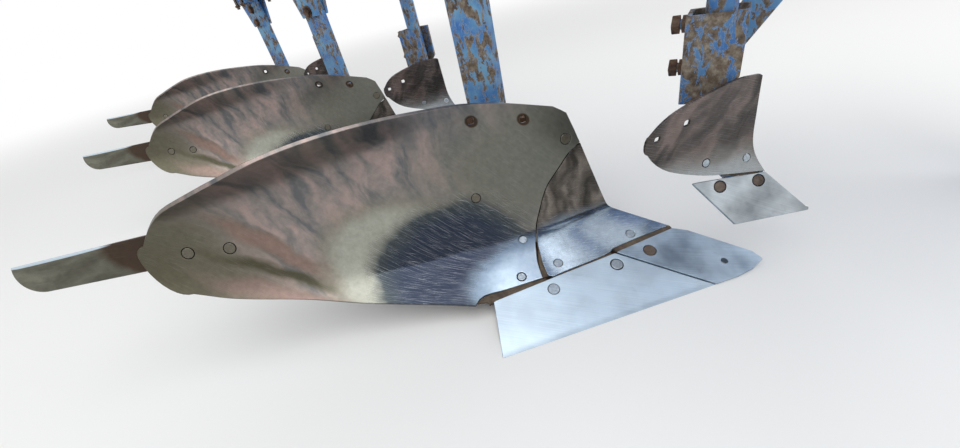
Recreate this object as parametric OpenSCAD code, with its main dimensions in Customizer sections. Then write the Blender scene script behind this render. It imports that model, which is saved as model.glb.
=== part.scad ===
// Mounted moldboard plough: a train of bodies with skimmers on a diagonal beam.
// Millimetres. +X is the way it travels, +Y is the unploughed (land) side, +Z is up.
// Everything is laid out from the tip of the first body on the ground, then moved
// so that the origin is the middle of the plough's footprint on the ground.

/* [Body train] */
// Distance along the travel between one body and the next
body_pitch = 930; // [900:1:1000]
// Width that each body cuts
furrow_w = 375; // [360:1:400]

/* [Working face] */
// Angle of the share's edge to the travel
share_heading = 43.5; // [42:0.5:46]
// Slope of the share's face above the ground
share_slope = 20; // [18:0.5:22]
// Where the share's edge line meets the land side, ahead of the tip
share_reach = 37; // [30:1:45]
// Thickness of the share
share_t = 11; // [8:0.5:13]
// Thickness of the chisel point
point_t = 15; // [12:0.5:16]
// How far the chisel point stands proud of the share
point_proud = 3; // [1:0.5:4]
// Thickness of the moldboard
board_t = 8; // [6:0.5:10]
// Thickness of the shin piece
shin_t = 10; // [8:0.5:12]
// Open joint between neighbouring face pieces
face_joint = 1.5; // [1:0.1:3]
// Gap between a face piece and what it is bolted to
seat_gap = 0.3; // [0.2:0.1:0.8]
// Width of the tail strip where it is bolted on
strip_w = 82; // [70:1:84]
// Length of the tail strip
strip_l = 450; // [380:1:465]
// Thickness of the tail strip
strip_t = 8; // [6:0.5:12]

/* [Leg and frog] */
// Width of a body's leg along the travel
leg_w = 88; // [76:1:94]
// Thickness of a body's leg
leg_t = 32; // [26:1:36]
// Distance of the leg's middle behind the tip
leg_back = 596; // [590:1:612]
// Height of the leg's top
leg_top = 700; // [680:1:704]
// Diameter of the two bolts that hold the leg
leg_bolt_d = 20; // [16:1:24]
// Radial play of the leg's bolts
bolt_play = 0.25; // [0.1:0.05:0.5]
// Thickness of the frog's plates
frog_t = 20; // [16:1:22]
// Height of the landside
landside_h = 110; // [90:1:120]
// Thickness of the landside
landside_t = 12; // [8:0.5:12]
// Distance of the landside's rear end behind the tip
landside_back = 700; // [690:1:730]

/* [Beam and frame] */
// Side of the main beam's square tube
beam_s = 120; // [100:1:140]
// Wall of the square tubes
beam_wall = 8; // [6:0.5:12]
// Height of the beam's underside above the ground
beam_z = 720; // [720:1:760]
// Distance of the cross beam's rear face ahead of the tip
cross_x = 90; // [70:1:110]
// Distance of the hitch's middle from the first body's land side
hitch_y = 220; // [200:1:240]
// Side of the frame brace's square tube
brace_s = 80; // [60:1:90]

/* [Hitch] */
// Height of the lower link pins
pin_z = 560; // [540:1:580]
// Height of the top link pin above the lower pins
mast_h = 610; // [600:1:620]
// Distance between the shoulders of the lower link pins
pin_span = 825; // [820:1:830]
// Diameter of the lower link pins
pin_d = 28; // [27.8:0.1:28.4]
// Length of each lower link pin
pin_l = 72; // [65:1:90]
// Diameter of the top link hole
top_hole_d = 25.6; // [25.4:0.1:26]
// Gap between the top link's ears
ear_gap = 52; // [51:1:60]
// Thickness of the tower's ears
ear_t = 15; // [12:1:20]
// Diameter of the cross shaft
axle_d = 60; // [50:1:65]
// Radial play of the cross shaft in its bearings
axle_play = 0.1; // [0.05:0.05:0.4]
// Throw of the cranks that carry the lower pins
crank_throw = 60; // [50:1:70]
// Length of the lever that turns the cross shaft
lever_l = 190; // [170:1:200]
// Diameter of the adjusting screw
screw_d = 24; // [20:1:28]

/* [Stand] */
// Side of the parking stand's square tube
stand_s = 50; // [40:1:55]
// Wall of the stand's socket
socket_wall = 6; // [4:0.5:8]
// Play on each side of the stand in its socket
stand_play = 0.3; // [0.2:0.1:0.6]

/* [Skimmer] */
// Diameter of the skimmer's stem
stem_d = 45; // [40:1:48]
// Distance of the stem behind the body's tip
stem_back = 135; // [130:1:145]
// Thickness of the skimmer's board
skim_t = 6; // [4:0.5:8]
// Thickness of the skimmer's share
skim_share_t = 8; // [6:0.5:10]
// Thickness of the skimmer bracket's cheeks
cheek_t = 8; // [6:0.5:10]
// Height of the lower end of the clamp on the skimmer's stem
clamp_low = 345; // [335:1:375]
// Height of that clamp
clamp_h = 142; // [120:1:160]

/* [Hidden] */
BODIES = 3;
$fn = 48;
steel = "#c9ccd0";
dark_steel = "#5a544c";
blue = "#2f78c0";

// Height, angle of the face's level lines at the shin, and what they curl by towards the wing
face_angles = [
  [0, 43.5, -5], [50, 43.5, -3], [100, 44.7, -1.2], [200, 45.2, -2],
  [300, 46.1, -3], [370, 49.9, -3.8], [440, 59.6, -5]
];
curl_at = 900;
// The steep upper line of the shin: its place at ground level, and how far it leans back per mm of height
shin_foot = -287.4;
shin_lean = 0.347;
// Distance back along the face, roundness of the bend between the share's slope and the steep face
bend_at = [[0, 8], [100, 22], [200, 31], [341, 42], [521, 68], [900, 183], [1000, 225]];
// Distance back along the face, height of the seam between shin and moldboard
seam_line = [
  [0, 252], [32, 239], [74, 210], [114, 182], [142, 153], [164, 127], [201, 95], [248, 77],
  [304, 60], [347, 46]
];
// Distance back along the face, height of the moldboard's edge above the share
foot_line = [[347, 47.5], [436, 48], [483, 49], [524, 43.5]];
// Distance back along the face, height of the moldboard's free lower edge
heel_line = [[524, 43.5], [618, 73], [745, 131], [872, 177], [925, 204]];
// Distance back along the face, height of the moldboard's top edge
top_line = [
  [0, 333], [71, 360], [141, 385], [212, 404], [275, 415], [389, 431], [496, 437],
  [585, 431], [667, 412], [742, 392], [812, 372], [873, 343], [925, 310]
];
// How far the rounded wing end stands out in its middle
wing_bulge = 42;
// Distance back along the face, height of the shin's lower edge
shin_low = [[0, 55], [158, 52], [178, 49.5], [300, 46.5], [347, 45]];
// Where the shin ends, and how far the seam's joint has opened there
shin_end = 332;
seam_wedge = 3;
// Share outline in its own plane: distance along the edge, distance up the slope
share_outline = [[157, 0], [613, 0], [593, 118.5], [469, 127], [305, 137]];
// Point outline in the same plane, from the tip
point_outline = [
  [35, 19], [71, 5], [107, 0], [155.5, 0], [303, 137], [158, 150], [127, 133], [43, 41]
];
// Plough bolts of shin and moldboard: distance back along the face, height, length of the boss behind
shin_bolts = [[278, 55, 12], [81, 59, 12]];
board_bolts = [[371, 54, 22], [29, 269, 34], [275, 204, 40], [248, 90, 60]];
// Plough bolts of share and point: distance along the share's edge, distance up its slope
share_bolts = [[464, 103], [315, 110]];
point_bolts = [[234, 116]];
boss_d = 34;
// Place of the tail strip and the stay's foot on the moldboard's back
strip_at = [820, 262];
strip_rise = 4.5;
strip_up = 25;
stay_at = [640, 250];
low_stay_at = [610, 130];
stay_d = 25;

// Skimmer, on its body's own lines: heights and the shin edge's distance ahead of the tip
skim_edge = [[200, -27], [235, -48], [265, -57], [320, -60], [390, -62]];
// Height, angle of the level lines
skim_angles = [[200, 41], [265, 43], [320, 45.5], [390, 50]];
skim_low = [[0, 204], [76, 218], [115, 228], [167, 251], [194, 274], [212, 300]];
skim_top = [[0, 383], [52, 388], [105, 382], [150, 373], [181, 362], [204, 345], [212, 335]];
skim_bulge = 7;
skim_tip = [51, 0, 130];
skim_heading = 33.7;
skim_slope = 59;
skim_outline = [[0, 0], [137, 0], [201, 92], [61, 86]];

beam_turn = atan(furrow_w / body_pitch);
beam_top = beam_z + beam_s;
beam_tail = (BODIES - 1) * norm([body_pitch, furrow_w]) + 160;
leg_side = -20;
leg_mid = leg_side + leg_t / 2;
bracket_low_z = 585;
bracket_t = 12;
saddle_t = 14;
cross_front = cross_x + beam_s;
shaft_x = cross_front + 170;
hub_d = 110;
tower_top = pin_z + mast_h + 45;

module at_body(i) {
  translate([-body_pitch * (i - 1), furrow_w * (i - 1), 0]) children();
}

// Smooth curve through a table's rows: column 0 is where, column c is what
function row_at(t, x, k = 0) = k >= len(t) - 2 || x < t[k + 1][0] ? k : row_at(t, x, k + 1);
function slope_at(t, k, c) =
  k <= 0 ? (t[1][c] - t[0][c]) / (t[1][0] - t[0][0])
  : k >= len(t) - 1 ? (t[k][c] - t[k - 1][c]) / (t[k][0] - t[k - 1][0])
  : (t[k + 1][c] - t[k - 1][c]) / (t[k + 1][0] - t[k - 1][0]);
function along(t, x, c = 1) =
  let (k = row_at(t, x), w = t[k + 1][0] - t[k][0], u = min(1, max(0, (x - t[k][0]) / w)))
  (2 * u^3 - 3 * u^2 + 1) * t[k][c] + (u^3 - 2 * u^2 + u) * w * slope_at(t, k, c)
  + (3 * u^2 - 2 * u^3) * t[k + 1][c] + (u^3 - u^2) * w * slope_at(t, k + 1, c);

// The body's working face: s is the distance back from the shin edge, z the height
share_run = 1 / (tan(share_slope) * sin(share_heading));
function shin_x(s, z) =
  let (a = share_reach - share_run * z, b = shin_foot - shin_lean * z, r = along(bend_at, s))
  (a + b) / 2 + sqrt(((a - b) / 2)^2 + r^2);
face = function (s, z)
  let (h = along(face_angles, z, 1) + along(face_angles, z, 2) * (s / curl_at)^2)
  [shin_x(s, z) - s * cos(h), -s * sin(h), z];

// The skimmer's working face
skim_face = function (s, z)
  let (h = along(skim_angles, z))
  [along(skim_edge, z) - s * cos(h), -s * sin(h), z];

function unit(v) = v / norm(v);
function tangent(f, s, z) = unit(f(s + 1, z) - f(s - 1, z));
function backward(f, s, z) = unit(cross(f(s + 1, z) - f(s - 1, z), f(s, z + 1) - f(s, z - 1)));
function back_at(at, t) = face(at[0], at[1]) + backward(face, at[0], at[1]) * t;
// A point behind the face, held at the land side where the face ends there
function behind(f, s, z, t) =
  let (p = f(s, z) + backward(f, s, z) * t, d = tangent(f, s, z))
  p[1] > 0 ? p - d * (p[1] / d[1]) : p;

// Lays x along u, z along w, with its origin at o
module on_frame(o, u, w) {
  v = cross(w, u);
  multmatrix([
    [u[0], v[0], w[0], o[0]],
    [u[1], v[1], w[1], o[1]],
    [u[2], v[2], w[2], o[2]],
    [0, 0, 0, 1]
  ]) children();
}

// Lays x back along the face, y up it and z behind it
module at_face(f, s, z) {
  w = backward(f, s, z);
  t = tangent(f, s, z);
  on_frame(f(s, z), unit(t - w * (t * w)), w) children();
}

module on_share_plane(o, heading, slope) {
  on_frame(
    o,
    [-cos(heading), -sin(heading), 0],
    [-sin(heading) * sin(slope), cos(heading) * sin(slope), -cos(slope)]
  ) children();
}

module on_share() {
  on_share_plane([share_reach, 0, 0], share_heading, share_slope) children();
}

// A plate with its front on the given grid of points [column][row] and its back on another
module plate(front, back) {
  m = len(front) - 1;
  n = len(front[0]) - 1;
  half = (m + 1) * (n + 1);
  pts = concat([for (c = front) for (p = c) p], [for (c = back) for (p = c) p]);
  function at(i, j) = i * (n + 1) + j;
  function quad(a, b, c, d) = [[a, b, c], [a, c, d]];
  function side(p, q) = quad(q, p, p + half, q + half);
  faces = concat(
    [for (i = [0:m - 1]) for (j = [0:n - 1])
      each quad(at(i, j), at(i + 1, j), at(i + 1, j + 1), at(i, j + 1))],
    [for (i = [0:m - 1]) for (j = [0:n - 1])
      each quad(half + at(i, j + 1), half + at(i + 1, j + 1), half + at(i + 1, j), half + at(i, j))],
    [for (i = [0:m - 1]) each side(at(i, 0), at(i + 1, 0))],
    [for (i = [0:m - 1]) each side(at(i + 1, n), at(i, n))],
    [for (j = [0:n - 1]) each side(at(m, j), at(m, j + 1))],
    [for (j = [0:n - 1]) each side(at(0, j + 1), at(0, j))]
  );
  polyhedron(pts, faces, convexity = 6);
}

// Columns of a face piece, each [distance, lowest height, highest height, bulge of its end]
module face_plate(f, columns, rows, t) {
  function rise(c, j) = c[1] + (c[2] - c[1]) * (j / rows);
  function reach(c, j) = c[0] + c[3] * 4 * (j / rows) * (1 - j / rows);
  plate(
    [for (c = columns) [for (j = [0:rows]) f(reach(c, j), rise(c, j))]],
    [for (c = columns) [for (j = [0:rows]) behind(f, reach(c, j), rise(c, j), t)]]
  );
}

function steps(a, b, n) = [for (k = [0:n - 1]) a + (b - a) * k / n];

module moldboard() {
  seam_end = foot_line[0][0];
  heel = heel_line[0][0];
  wing = heel_line[len(heel_line) - 1][0];
  function low(s) =
    s <= seam_end ? along(seam_line, s) + face_joint
    : s < heel ? along(foot_line, s)
    : along(heel_line, s);
  places = concat(
    steps(0, shin_end, 9), steps(shin_end, seam_end, 1), steps(seam_end, heel, 4),
    steps(heel, wing, 9), [wing]
  );
  color(steel)
    face_plate(
      face,
      [for (s = places) [s, low(s), along(top_line, s), wing_bulge * max(0, (s - 760) / (wing - 760))^2]],
      9, board_t
    );
}

module shin() {
  opens = 230;
  function high(s) = along(seam_line, s) - seam_wedge * max(0, (s - opens) / (shin_end - opens));
  color(steel)
    face_plate(
      face,
      [for (s = concat(steps(0, shin_end, 9), [shin_end])) [s, along(shin_low, s), high(s), 0]],
      12, shin_t
    );
}

// How far the tail strip runs ahead of its bolts, and half its width at the end, rounded below
strip_inner = 100;
strip_end_r = 0.36 * strip_w;
strip_run = strip_l - strip_inner - strip_end_r;
strip_nose = [strip_l - strip_inner - 4, strip_end_r];
strip_depth = board_t + seat_gap + 0.4;

module above_ground() {
  intersection() {
    children();
    translate([-2000, -2000, 0]) cube([4000, 4000, 2000]);
  }
}

module share() {
  color(steel)
    above_ground() on_share() linear_extrude(share_t) polygon(share_outline);
}

module point() {
  color(dark_steel)
    above_ground() on_share() translate([0, 0, -point_proud]) linear_extrude(point_t)
      polygon(point_outline);
}

module tail_strip() {
  color(dark_steel)
    at_face(face, strip_at[0], strip_at[1])
      translate([0, strip_up, strip_depth]) rotate([0, 0, strip_rise])
        linear_extrude(strip_t) {
          polygon([
            [-strip_inner, -strip_w / 2], [strip_run, -strip_end_r], [strip_l - strip_inner, 0],
            strip_nose, [-strip_inner, strip_w / 2]
          ]);
          translate([strip_run, 0]) circle(r = strip_end_r);
        }
}

module leg() {
  low = 165;
  color(blue)
    difference() {
      translate([-leg_back - leg_w / 2, leg_side, low]) cube([leg_w, leg_t, leg_top - low]);
      for (z = leg_holes) leg_bolt(z, leg_bolt_d + 2 * bolt_play, 1);
    }
}

leg_holes = [605, 670];
module leg_bolt(z, d, over) {
  translate([-leg_back, leg_side - bracket_t - over, z]) rotate([-90, 0, 0])
    cylinder(d = d, h = leg_t + 2 * bracket_t + 2 * over);
}

module leg_bracket() {
  saddle_z = beam_z - saddle_t;
  color(blue) {
    for (y = [leg_side - bracket_t, leg_side + leg_t])
      translate([-leg_back, y + bracket_t, 0]) rotate([90, 0, 0])
        linear_extrude(bracket_t)
          polygon([[-45, bracket_low_z], [45, bracket_low_z], [75, saddle_z], [-75, saddle_z]]);
    for (z = leg_holes) leg_bolt(z, leg_bolt_d, 0);
    translate([-leg_back, leg_mid, saddle_z]) rotate([0, 0, -beam_turn])
      translate([-100, -beam_s / 2, 0]) cube([200, beam_s, saddle_t]);
  }
}

// Boss that carries a face piece at one of its bolts
module boss(f, at, t, d, l) {
  at_face(f, at[0], at[1]) translate([0, 0, t + seat_gap]) cylinder(d = d, h = l);
}

module seat_boss(at, t, seat_w) {
  on_share() translate([at[0], at[1], t + seat_gap]) cylinder(d = boss_d, h = seat_w + 1 - t);
}

module frog() {
  side_y = leg_side - frog_t;
  seat_t = 10;
  seat_w = point_t - point_proud + seat_gap + 1.5;
  color(dark_steel)
    intersection() {
      union() {
        // Web beside the leg
        translate([0, leg_side, 0]) rotate([90, 0, 0]) linear_extrude(frog_t)
          polygon([
            [-150, 4], [-150, 16], [-300, 54], [-362, 62], [-402, 102], [-436, 200], [-482, 325],
            [-560, 330], [-640, 330], [-640, 4]
          ]);
        // Foot between the web and the landside
        rotate([90, 0, 0]) linear_extrude(-leg_side)
          polygon([
            [-165, 4], [-165, 24], [-300, 58], [-350, 64], [-400, 110], [-425, 160], [-640, 160], [-640, 4]
          ]);
        // Seat below the share and the point
        on_share() translate([0, 0, seat_w]) linear_extrude(seat_t)
          polygon([
            [180, 96], [170, 136], [216, 186], [430, 186], [442, 234], [506, 234], [514, 186], [548, 165],
            [505, 84], [200, 84]
          ]);
        // Wing behind the steep part of the board
        on_frame(
          [shin_foot, 0, 0],
          [-cos(share_heading), -sin(share_heading), 0],
          unit([-sin(share_heading), cos(share_heading), -shin_lean * sin(share_heading)])
        )
          translate([0, 0, board_t + 18]) linear_extrude(14)
            polygon([[60, 92], [330, 92], [330, 236], [290, 250], [60, 250]]);
        for (b = share_bolts) seat_boss(b, share_t, seat_w);
        for (b = point_bolts) seat_boss(b, point_t - point_proud, seat_w);
        for (b = shin_bolts) boss(face, b, shin_t, boss_d, b[2]);
        for (b = board_bolts) boss(face, b, board_t, boss_d, b[2]);
        // Neck between the web and the uppermost boss
        translate([0, 0, 250]) linear_extrude(38)
          polygon([[-475, -40], [-446, -40], [-426, -18], [-426, 6], [-475, 6]]);
      }
      translate([-1000, -1000, 4]) cube([1000, 1000, 1000]);
    }
}

module landside() {
  color(dark_steel)
    translate([0, landside_t, 0]) rotate([90, 0, 0]) linear_extrude(landside_t)
      polygon([
        [-250, 0], [-236, 34], [-345, 62], [-400, landside_h],
        [-landside_back, landside_h], [-landside_back, 0]
      ]);
}

// Round bar from one point to another
module bar(a, b, d) {
  v = b - a;
  translate(a) rotate([0, acos(v[2] / norm(v)), atan2(v[1], v[0])]) cylinder(d = d, h = norm(v));
}

module stay() {
  pad_t = 12;
  lug = 12;
  overlap = 3;
  leg_end = [-leg_back - leg_w / 2 - lug, leg_mid, 250];
  heel_end = [-landside_back + 30, -lug, 62];
  color(dark_steel) {
    bar(leg_end, back_at(stay_at, board_t + pad_t + overlap), stay_d);
    boss(face, stay_at, board_t, 56, pad_t);
    translate([leg_end[0], leg_side, 215]) cube([lug, leg_t, 70]);
    bar(heel_end, back_at(low_stay_at, board_t + pad_t + overlap), stay_d);
    boss(face, low_stay_at, board_t, 56, pad_t);
    translate([-landside_back + 2, -lug, 30]) cube([50, lug, 64]);
  }
}

module skimmer_board() {
  last = skim_low[len(skim_low) - 1][0];
  color(steel)
    face_plate(
      skim_face,
      [for (s = concat(steps(0, last, 10), [last]))
        [s, along(skim_low, s) + 1, along(skim_top, s), skim_bulge * (s / last)^4]],
      8, skim_t
    );
}

module on_skimmer_share() {
  on_share_plane(skim_tip, skim_heading, skim_slope) children();
}

module skimmer_share() {
  color(steel)
    intersection() {
      on_skimmer_share() linear_extrude(skim_share_t) polygon(skim_outline);
      translate([-1000, -1000, 0]) cube([2000, 1000, 1000]);
    }
}

// The arm that carries the skimmer's stem at the beam
arm_z = beam_z + 20;
arm_h = 80;
holder_half = 43;
holder_x = -stem_back - holder_half - 4;
set_bolt_out = 23;
module skimmer_stem() {
  top = arm_z + arm_h + 10;
  low = 222;
  color(blue)
    difference() {
      union() {
        translate([-stem_back, 0, low]) cylinder(d = stem_d, h = top - low);
        at_face(skim_face, 75, 262) translate([-34, -34, skim_t + seat_gap]) cube([64, 76, 34]);
        on_skimmer_share() translate([0, 0, skim_share_t + seat_gap]) linear_extrude(10)
          polygon([[60, 24], [130, 24], [172, 88], [66, 88]]);
        on_skimmer_share() translate([70, 40, skim_share_t + seat_gap]) cube([44, 26, 50]);
        bar([-60, -5, 168], [-stem_back, 0, 240], 22);
      }
    }
}

// Two cheeks and a web around the stem, and two bolts that press on it from behind
module stem_holder(low, h, slant, bolts) {
  inner = stem_d / 2 + 2.5;
  for (y = [-inner, inner + cheek_t])
    translate([holder_x, y, 0]) rotate([90, 0, 0]) linear_extrude(cheek_t)
      polygon([
        [0, low], [holder_half, low], [2 * holder_half, low + slant],
        [2 * holder_half, low + h], [0, low + h]
      ]);
  translate([holder_x, -inner, low]) cube([cheek_t, 2 * inner, h]);
  for (z = bolts) translate([holder_x - set_bolt_out, 0, low + z]) rotate([0, 90, 0])
    cylinder(d = 16, h = set_bolt_out - stem_back - holder_x - stem_d / 2 - seat_gap);
}

module skimmer_clamp() {
  color(blue) stem_holder(clamp_low, clamp_h, 44, [56, clamp_h - 16]);
}

module skimmer_bracket() {
  color(blue)
    difference() {
      union() {
        stem_holder(arm_z, arm_h, 0, [20, 60]);
        translate([holder_x, -300, arm_z]) cube([2 * holder_half, 300 - stem_d / 2 - 2.5, arm_h]);
      }
      right_of_beam();
    }
}

// All that lies to the right of the main beam's left side
module right_of_beam() {
  translate([-leg_back, leg_mid, 0]) rotate([0, 0, -beam_turn])
    translate([-3000, beam_s / 2 - 1000, 0]) cube([5000, 1000, 2000]);
}

module square_tube(l, s, wall) {
  difference() {
    translate([0, -s / 2, 0]) cube([l, s, s]);
    translate([-1, -s / 2 + wall, wall]) cube([l + 2, s - 2 * wall, s - 2 * wall]);
  }
}

module main_beam() {
  color(blue)
    intersection() {
      translate([-leg_back, leg_mid, beam_z]) rotate([0, 0, 180 - beam_turn])
        translate([-1200, 0, 0]) square_tube(1200 + beam_tail, beam_s, beam_wall);
      translate([-6000 + cross_x, -3000, 0]) cube([6000, 6000, 3000]);
    }
}

module cross_beam() {
  low_y = leg_mid - (cross_x + leg_back) * tan(beam_turn) - 90;
  color(blue)
    translate([cross_x + beam_s / 2, low_y, beam_z]) rotate([0, 0, 90])
      square_tube(hitch_y + 260 - low_y, beam_s, beam_wall);
}

module frame_brace() {
  from = [cross_x, hitch_y + 200];
  to_x = -860;
  to_y = leg_mid - (to_x + leg_back) * tan(beam_turn) + beam_s / 2 / cos(beam_turn);
  v = [to_x, to_y] - from;
  color(blue)
    difference() {
      translate([from[0], from[1], beam_z + 20]) rotate([0, 0, atan2(v[1], v[0])])
        translate([-100, 0, 0]) square_tube(norm(v) + 200, brace_s, beam_wall);
      right_of_beam();
      translate([cross_x, -2000, 0]) cube([1000, 4000, 2000]);
    }
}

module hanger_plate() {
  plate_t = 16;
  color(blue)
    translate([0, 150 + plate_t / 2, 0]) rotate([90, 0, 0]) linear_extrude(plate_t)
      polygon([
        [-158, 366], [-107, 372], [119, beam_z], [cross_x, beam_z], [cross_x, beam_z + 80],
        [50, beam_z + 80], [10, beam_z]
      ]);
}

// How far the upper spacer's back lies behind the top link hole
spacer_back = 150;
module tower() {
  hole_z = pin_z + mast_h;
  hole_x = shaft_x - 30;
  color(blue)
    translate([0, hitch_y, 0]) difference() {
      union() {
        for (y = [-ear_gap / 2 - ear_t, ear_gap / 2])
          translate([0, y + ear_t, 0]) rotate([90, 0, 0]) linear_extrude(ear_t) {
            polygon([
              [cross_front, beam_z], [cross_front + 120, beam_z], [hole_x + 40, hole_z],
              [hole_x - 40, hole_z], [cross_front, beam_top + 40]
            ]);
            translate([hole_x, hole_z]) circle(r = 40);
          }
        translate([cross_front, -ear_gap / 2, beam_z + 20]) cube([90, ear_gap, 200]);
        translate([hole_x - spacer_back, -ear_gap / 2, hole_z - 130]) cube([60, ear_gap, 90]);
      }
      for (z = [hole_z, hole_z - 75])
        translate([hole_x, -100, z]) rotate([-90, 0, 0]) cylinder(d = top_hole_d, h = 200);
    }
}

module tower_brace() {
  top = [cross_front + 50, hitch_y, pin_z + mast_h - 95];
  foot_x = -1000;
  foot = [foot_x, leg_mid - (foot_x + leg_back) * tan(beam_turn), beam_top + 14];
  color(blue)
    difference() {
      union() {
        bar(top, foot, 60);
        translate([foot[0], foot[1], beam_top]) rotate([0, 0, -beam_turn])
          translate([-90, -50, 0]) cube([180, 100, 16]);
      }
      tower_back();
      translate([foot_x - 500, -500, beam_top - 200]) cube([1000, 1500, 200]);
    }
}

// The space of the tower's ears and spacers, which the brace butts against
module tower_back() {
  hole_x = shaft_x - 30;
  translate([hole_x - spacer_back, hitch_y - 200, beam_z]) cube([1000, 400, 1000]);
}

// Distance of the bearings from the hitch's middle
bearing_side = 157.5;
module shaft_bearings() {
  color(blue)
    difference() {
      for (side = [-1, 1]) translate([0, hitch_y + side * bearing_side, 0]) {
        translate([0, 7.5, 0]) rotate([90, 0, 0]) linear_extrude(15)
          polygon([
            [cross_front, beam_z], [cross_front, beam_top], [cross_front + 90, beam_top],
            [shaft_x + 110, pin_z + 130], [shaft_x + 110, pin_z + 40],
            [shaft_x + hub_d / 2 - 8, pin_z - 20],
            [shaft_x - hub_d / 2 + 8, pin_z - 20], [cross_front, beam_z - 60]
          ]);
        translate([shaft_x, -30, pin_z]) rotate([-90, 0, 0]) cylinder(d = hub_d, h = 60);
      }
      translate([shaft_x, hitch_y - 400, pin_z]) rotate([-90, 0, 0])
        cylinder(d = axle_d + 2 * axle_play, h = 800);
    }
}

lever_y = -100;
lever_t = 20;
lever_pin_d = 16;
eye_d = 28;
module cross_shaft() {
  crank_t = 20;
  inner = pin_span / 2 - crank_t;
  color(blue) translate([shaft_x, hitch_y, pin_z]) {
    translate([0, -inner - 1, 0]) rotate([-90, 0, 0]) cylinder(d = axle_d, h = 2 * inner + 2);
    for (side = [-1, 1]) {
      translate([0, side * (inner + crank_t / 2), 0]) rotate([90, 0, 0])
        translate([0, 0, -crank_t / 2]) linear_extrude(crank_t) {
          circle(d = axle_d + 24);
          translate([crank_throw, 0]) circle(d = pin_d + 40);
          polygon([[0, -42], [crank_throw, -34], [crank_throw, 34], [0, 42]]);
        }
      translate([crank_throw, side > 0 ? pin_span / 2 - 1 : -pin_span / 2 - pin_l, 0]) rotate([-90, 0, 0])
        cylinder(d = pin_d, h = pin_l + 1);
    }
    translate([0, lever_y + lever_t / 2, 0]) rotate([90, 0, 0]) linear_extrude(lever_t)
      polygon([[-36, 0], [36, 0], [20, lever_l + 18], [-20, lever_l + 18]]);
    translate([0, lever_y - lever_t / 2 - 30, lever_l]) rotate([-90, 0, 0])
      cylinder(d = lever_pin_d, h = 31);
  }
}

screw_z = pin_z + lever_l - 2;
screw_y = hitch_y + lever_y - lever_t / 2 - 17;
module screw_tube() {
  color(dark_steel)
    difference() {
      translate([cross_front, screw_y, screw_z]) rotate([0, 90, 0]) cylinder(d = 44, h = 84);
      translate([cross_front + 6, screw_y, screw_z]) rotate([0, 90, 0]) cylinder(d = screw_d + 1, h = 100);
    }
}

module screw_rod() {
  color(steel)
    difference() {
      union() {
        translate([shaft_x - 118, screw_y, screw_z]) rotate([0, 90, 0]) cylinder(d = screw_d, h = 103);
        translate([shaft_x, screw_y - 10, screw_z]) rotate([-90, 0, 0]) cylinder(d = eye_d + 20, h = 20);
      }
      translate([shaft_x, screw_y - 20, screw_z]) rotate([-90, 0, 0]) cylinder(d = eye_d, h = 40);
    }
}

stand_x = shaft_x + axle_d / 2 + 30 + stand_s / 2;
socket_s = stand_s + 2 * socket_wall + 2 * stand_play;
stand_y = hitch_y + bearing_side + 7.5 + socket_s / 2;
stand_foot = 120;
socket_h = 84;
stand_over = 192;
module stand_socket() {
  color(blue)
    translate([stand_x, stand_y, pin_z + 44]) difference() {
      translate([-socket_s / 2, -socket_s / 2, 0]) cube([socket_s, socket_s, socket_h]);
      translate([-stand_s / 2 - stand_play, -stand_s / 2 - stand_play, -1])
        cube([stand_s + 2 * stand_play, stand_s + 2 * stand_play, socket_h + 2]);
    }
}

module stand_leg() {
  color(blue) translate([stand_x, stand_y, 0]) {
    translate([-stand_foot / 2, -stand_foot / 2, 0]) cube([stand_foot, stand_foot, 8]);
    difference() {
      translate([-stand_s / 2, -stand_s / 2, 8]) cube([stand_s, stand_s, pin_z + stand_over]);
      translate([-stand_s / 2 + 5, -stand_s / 2 + 5, 9]) cube([stand_s - 10, stand_s - 10, pin_z + stand_over]);
    }
  }
}

// The lowest that the tail strip's end reaches along axis k
function strip_limit(k) =
  let (
    w = backward(face, strip_at[0], strip_at[1]),
    t = tangent(face, strip_at[0], strip_at[1]),
    p = unit(t - w * (t * w)),
    q = cross(w, p),
    u = p * cos(strip_rise) + q * sin(strip_rise),
    v = q * cos(strip_rise) - p * sin(strip_rise),
    o = face(strip_at[0], strip_at[1]) + q * strip_up,
    a = min(0, max(-90, atan2(-v[k], -u[k]))),
    ends = [[strip_run + strip_end_r * cos(a), strip_end_r * sin(a)], strip_nose]
  )
  min([
    for (d = [strip_depth, strip_depth + strip_t]) for (e = ends)
      o[k] + u[k] * e[0] + v[k] * e[1] + w[k] * d
  ]);

// The middle of the plough's footprint: tail strips, beam end and stand foot are its outermost points
centre = [
  (strip_limit(0) - (BODIES - 1) * body_pitch + stand_x + stand_foot / 2) / 2,
  (strip_limit(1) + leg_mid + beam_tail * sin(beam_turn) + beam_s / 2 * cos(beam_turn)) / 2
];

module placed() {
  translate([-centre[0], -centre[1], 0]) children();
}

for (i = [1:BODIES]) {
  placed() at_body(i) leg();
  placed() at_body(i) frog();
  placed() at_body(i) moldboard();
  placed() at_body(i) shin();
  placed() at_body(i) share();
  placed() at_body(i) point();
  placed() at_body(i) tail_strip();
  placed() at_body(i) landside();
  placed() at_body(i) stay();
  placed() at_body(i) skimmer_board();
  placed() at_body(i) skimmer_share();
  placed() at_body(i) skimmer_stem();
  placed() at_body(i) skimmer_clamp();
  placed() at_body(i) skimmer_bracket();
  placed() at_body(i) leg_bracket();
}
placed() main_beam();
placed() cross_beam();
placed() frame_brace();
placed() hanger_plate();
placed() tower();
placed() tower_brace();
placed() shaft_bearings();
placed() cross_shaft();
placed() screw_tube();
placed() screw_rod();
placed() stand_socket();
placed() stand_leg();
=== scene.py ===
"""Looks of a mounted moldboard plough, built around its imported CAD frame."""

import math
from contextlib import contextmanager

import bmesh
import bpy
import numpy as np
from mathutils import Matrix, Vector
from mathutils.geometry import delaunay_2d_cdt


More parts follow.
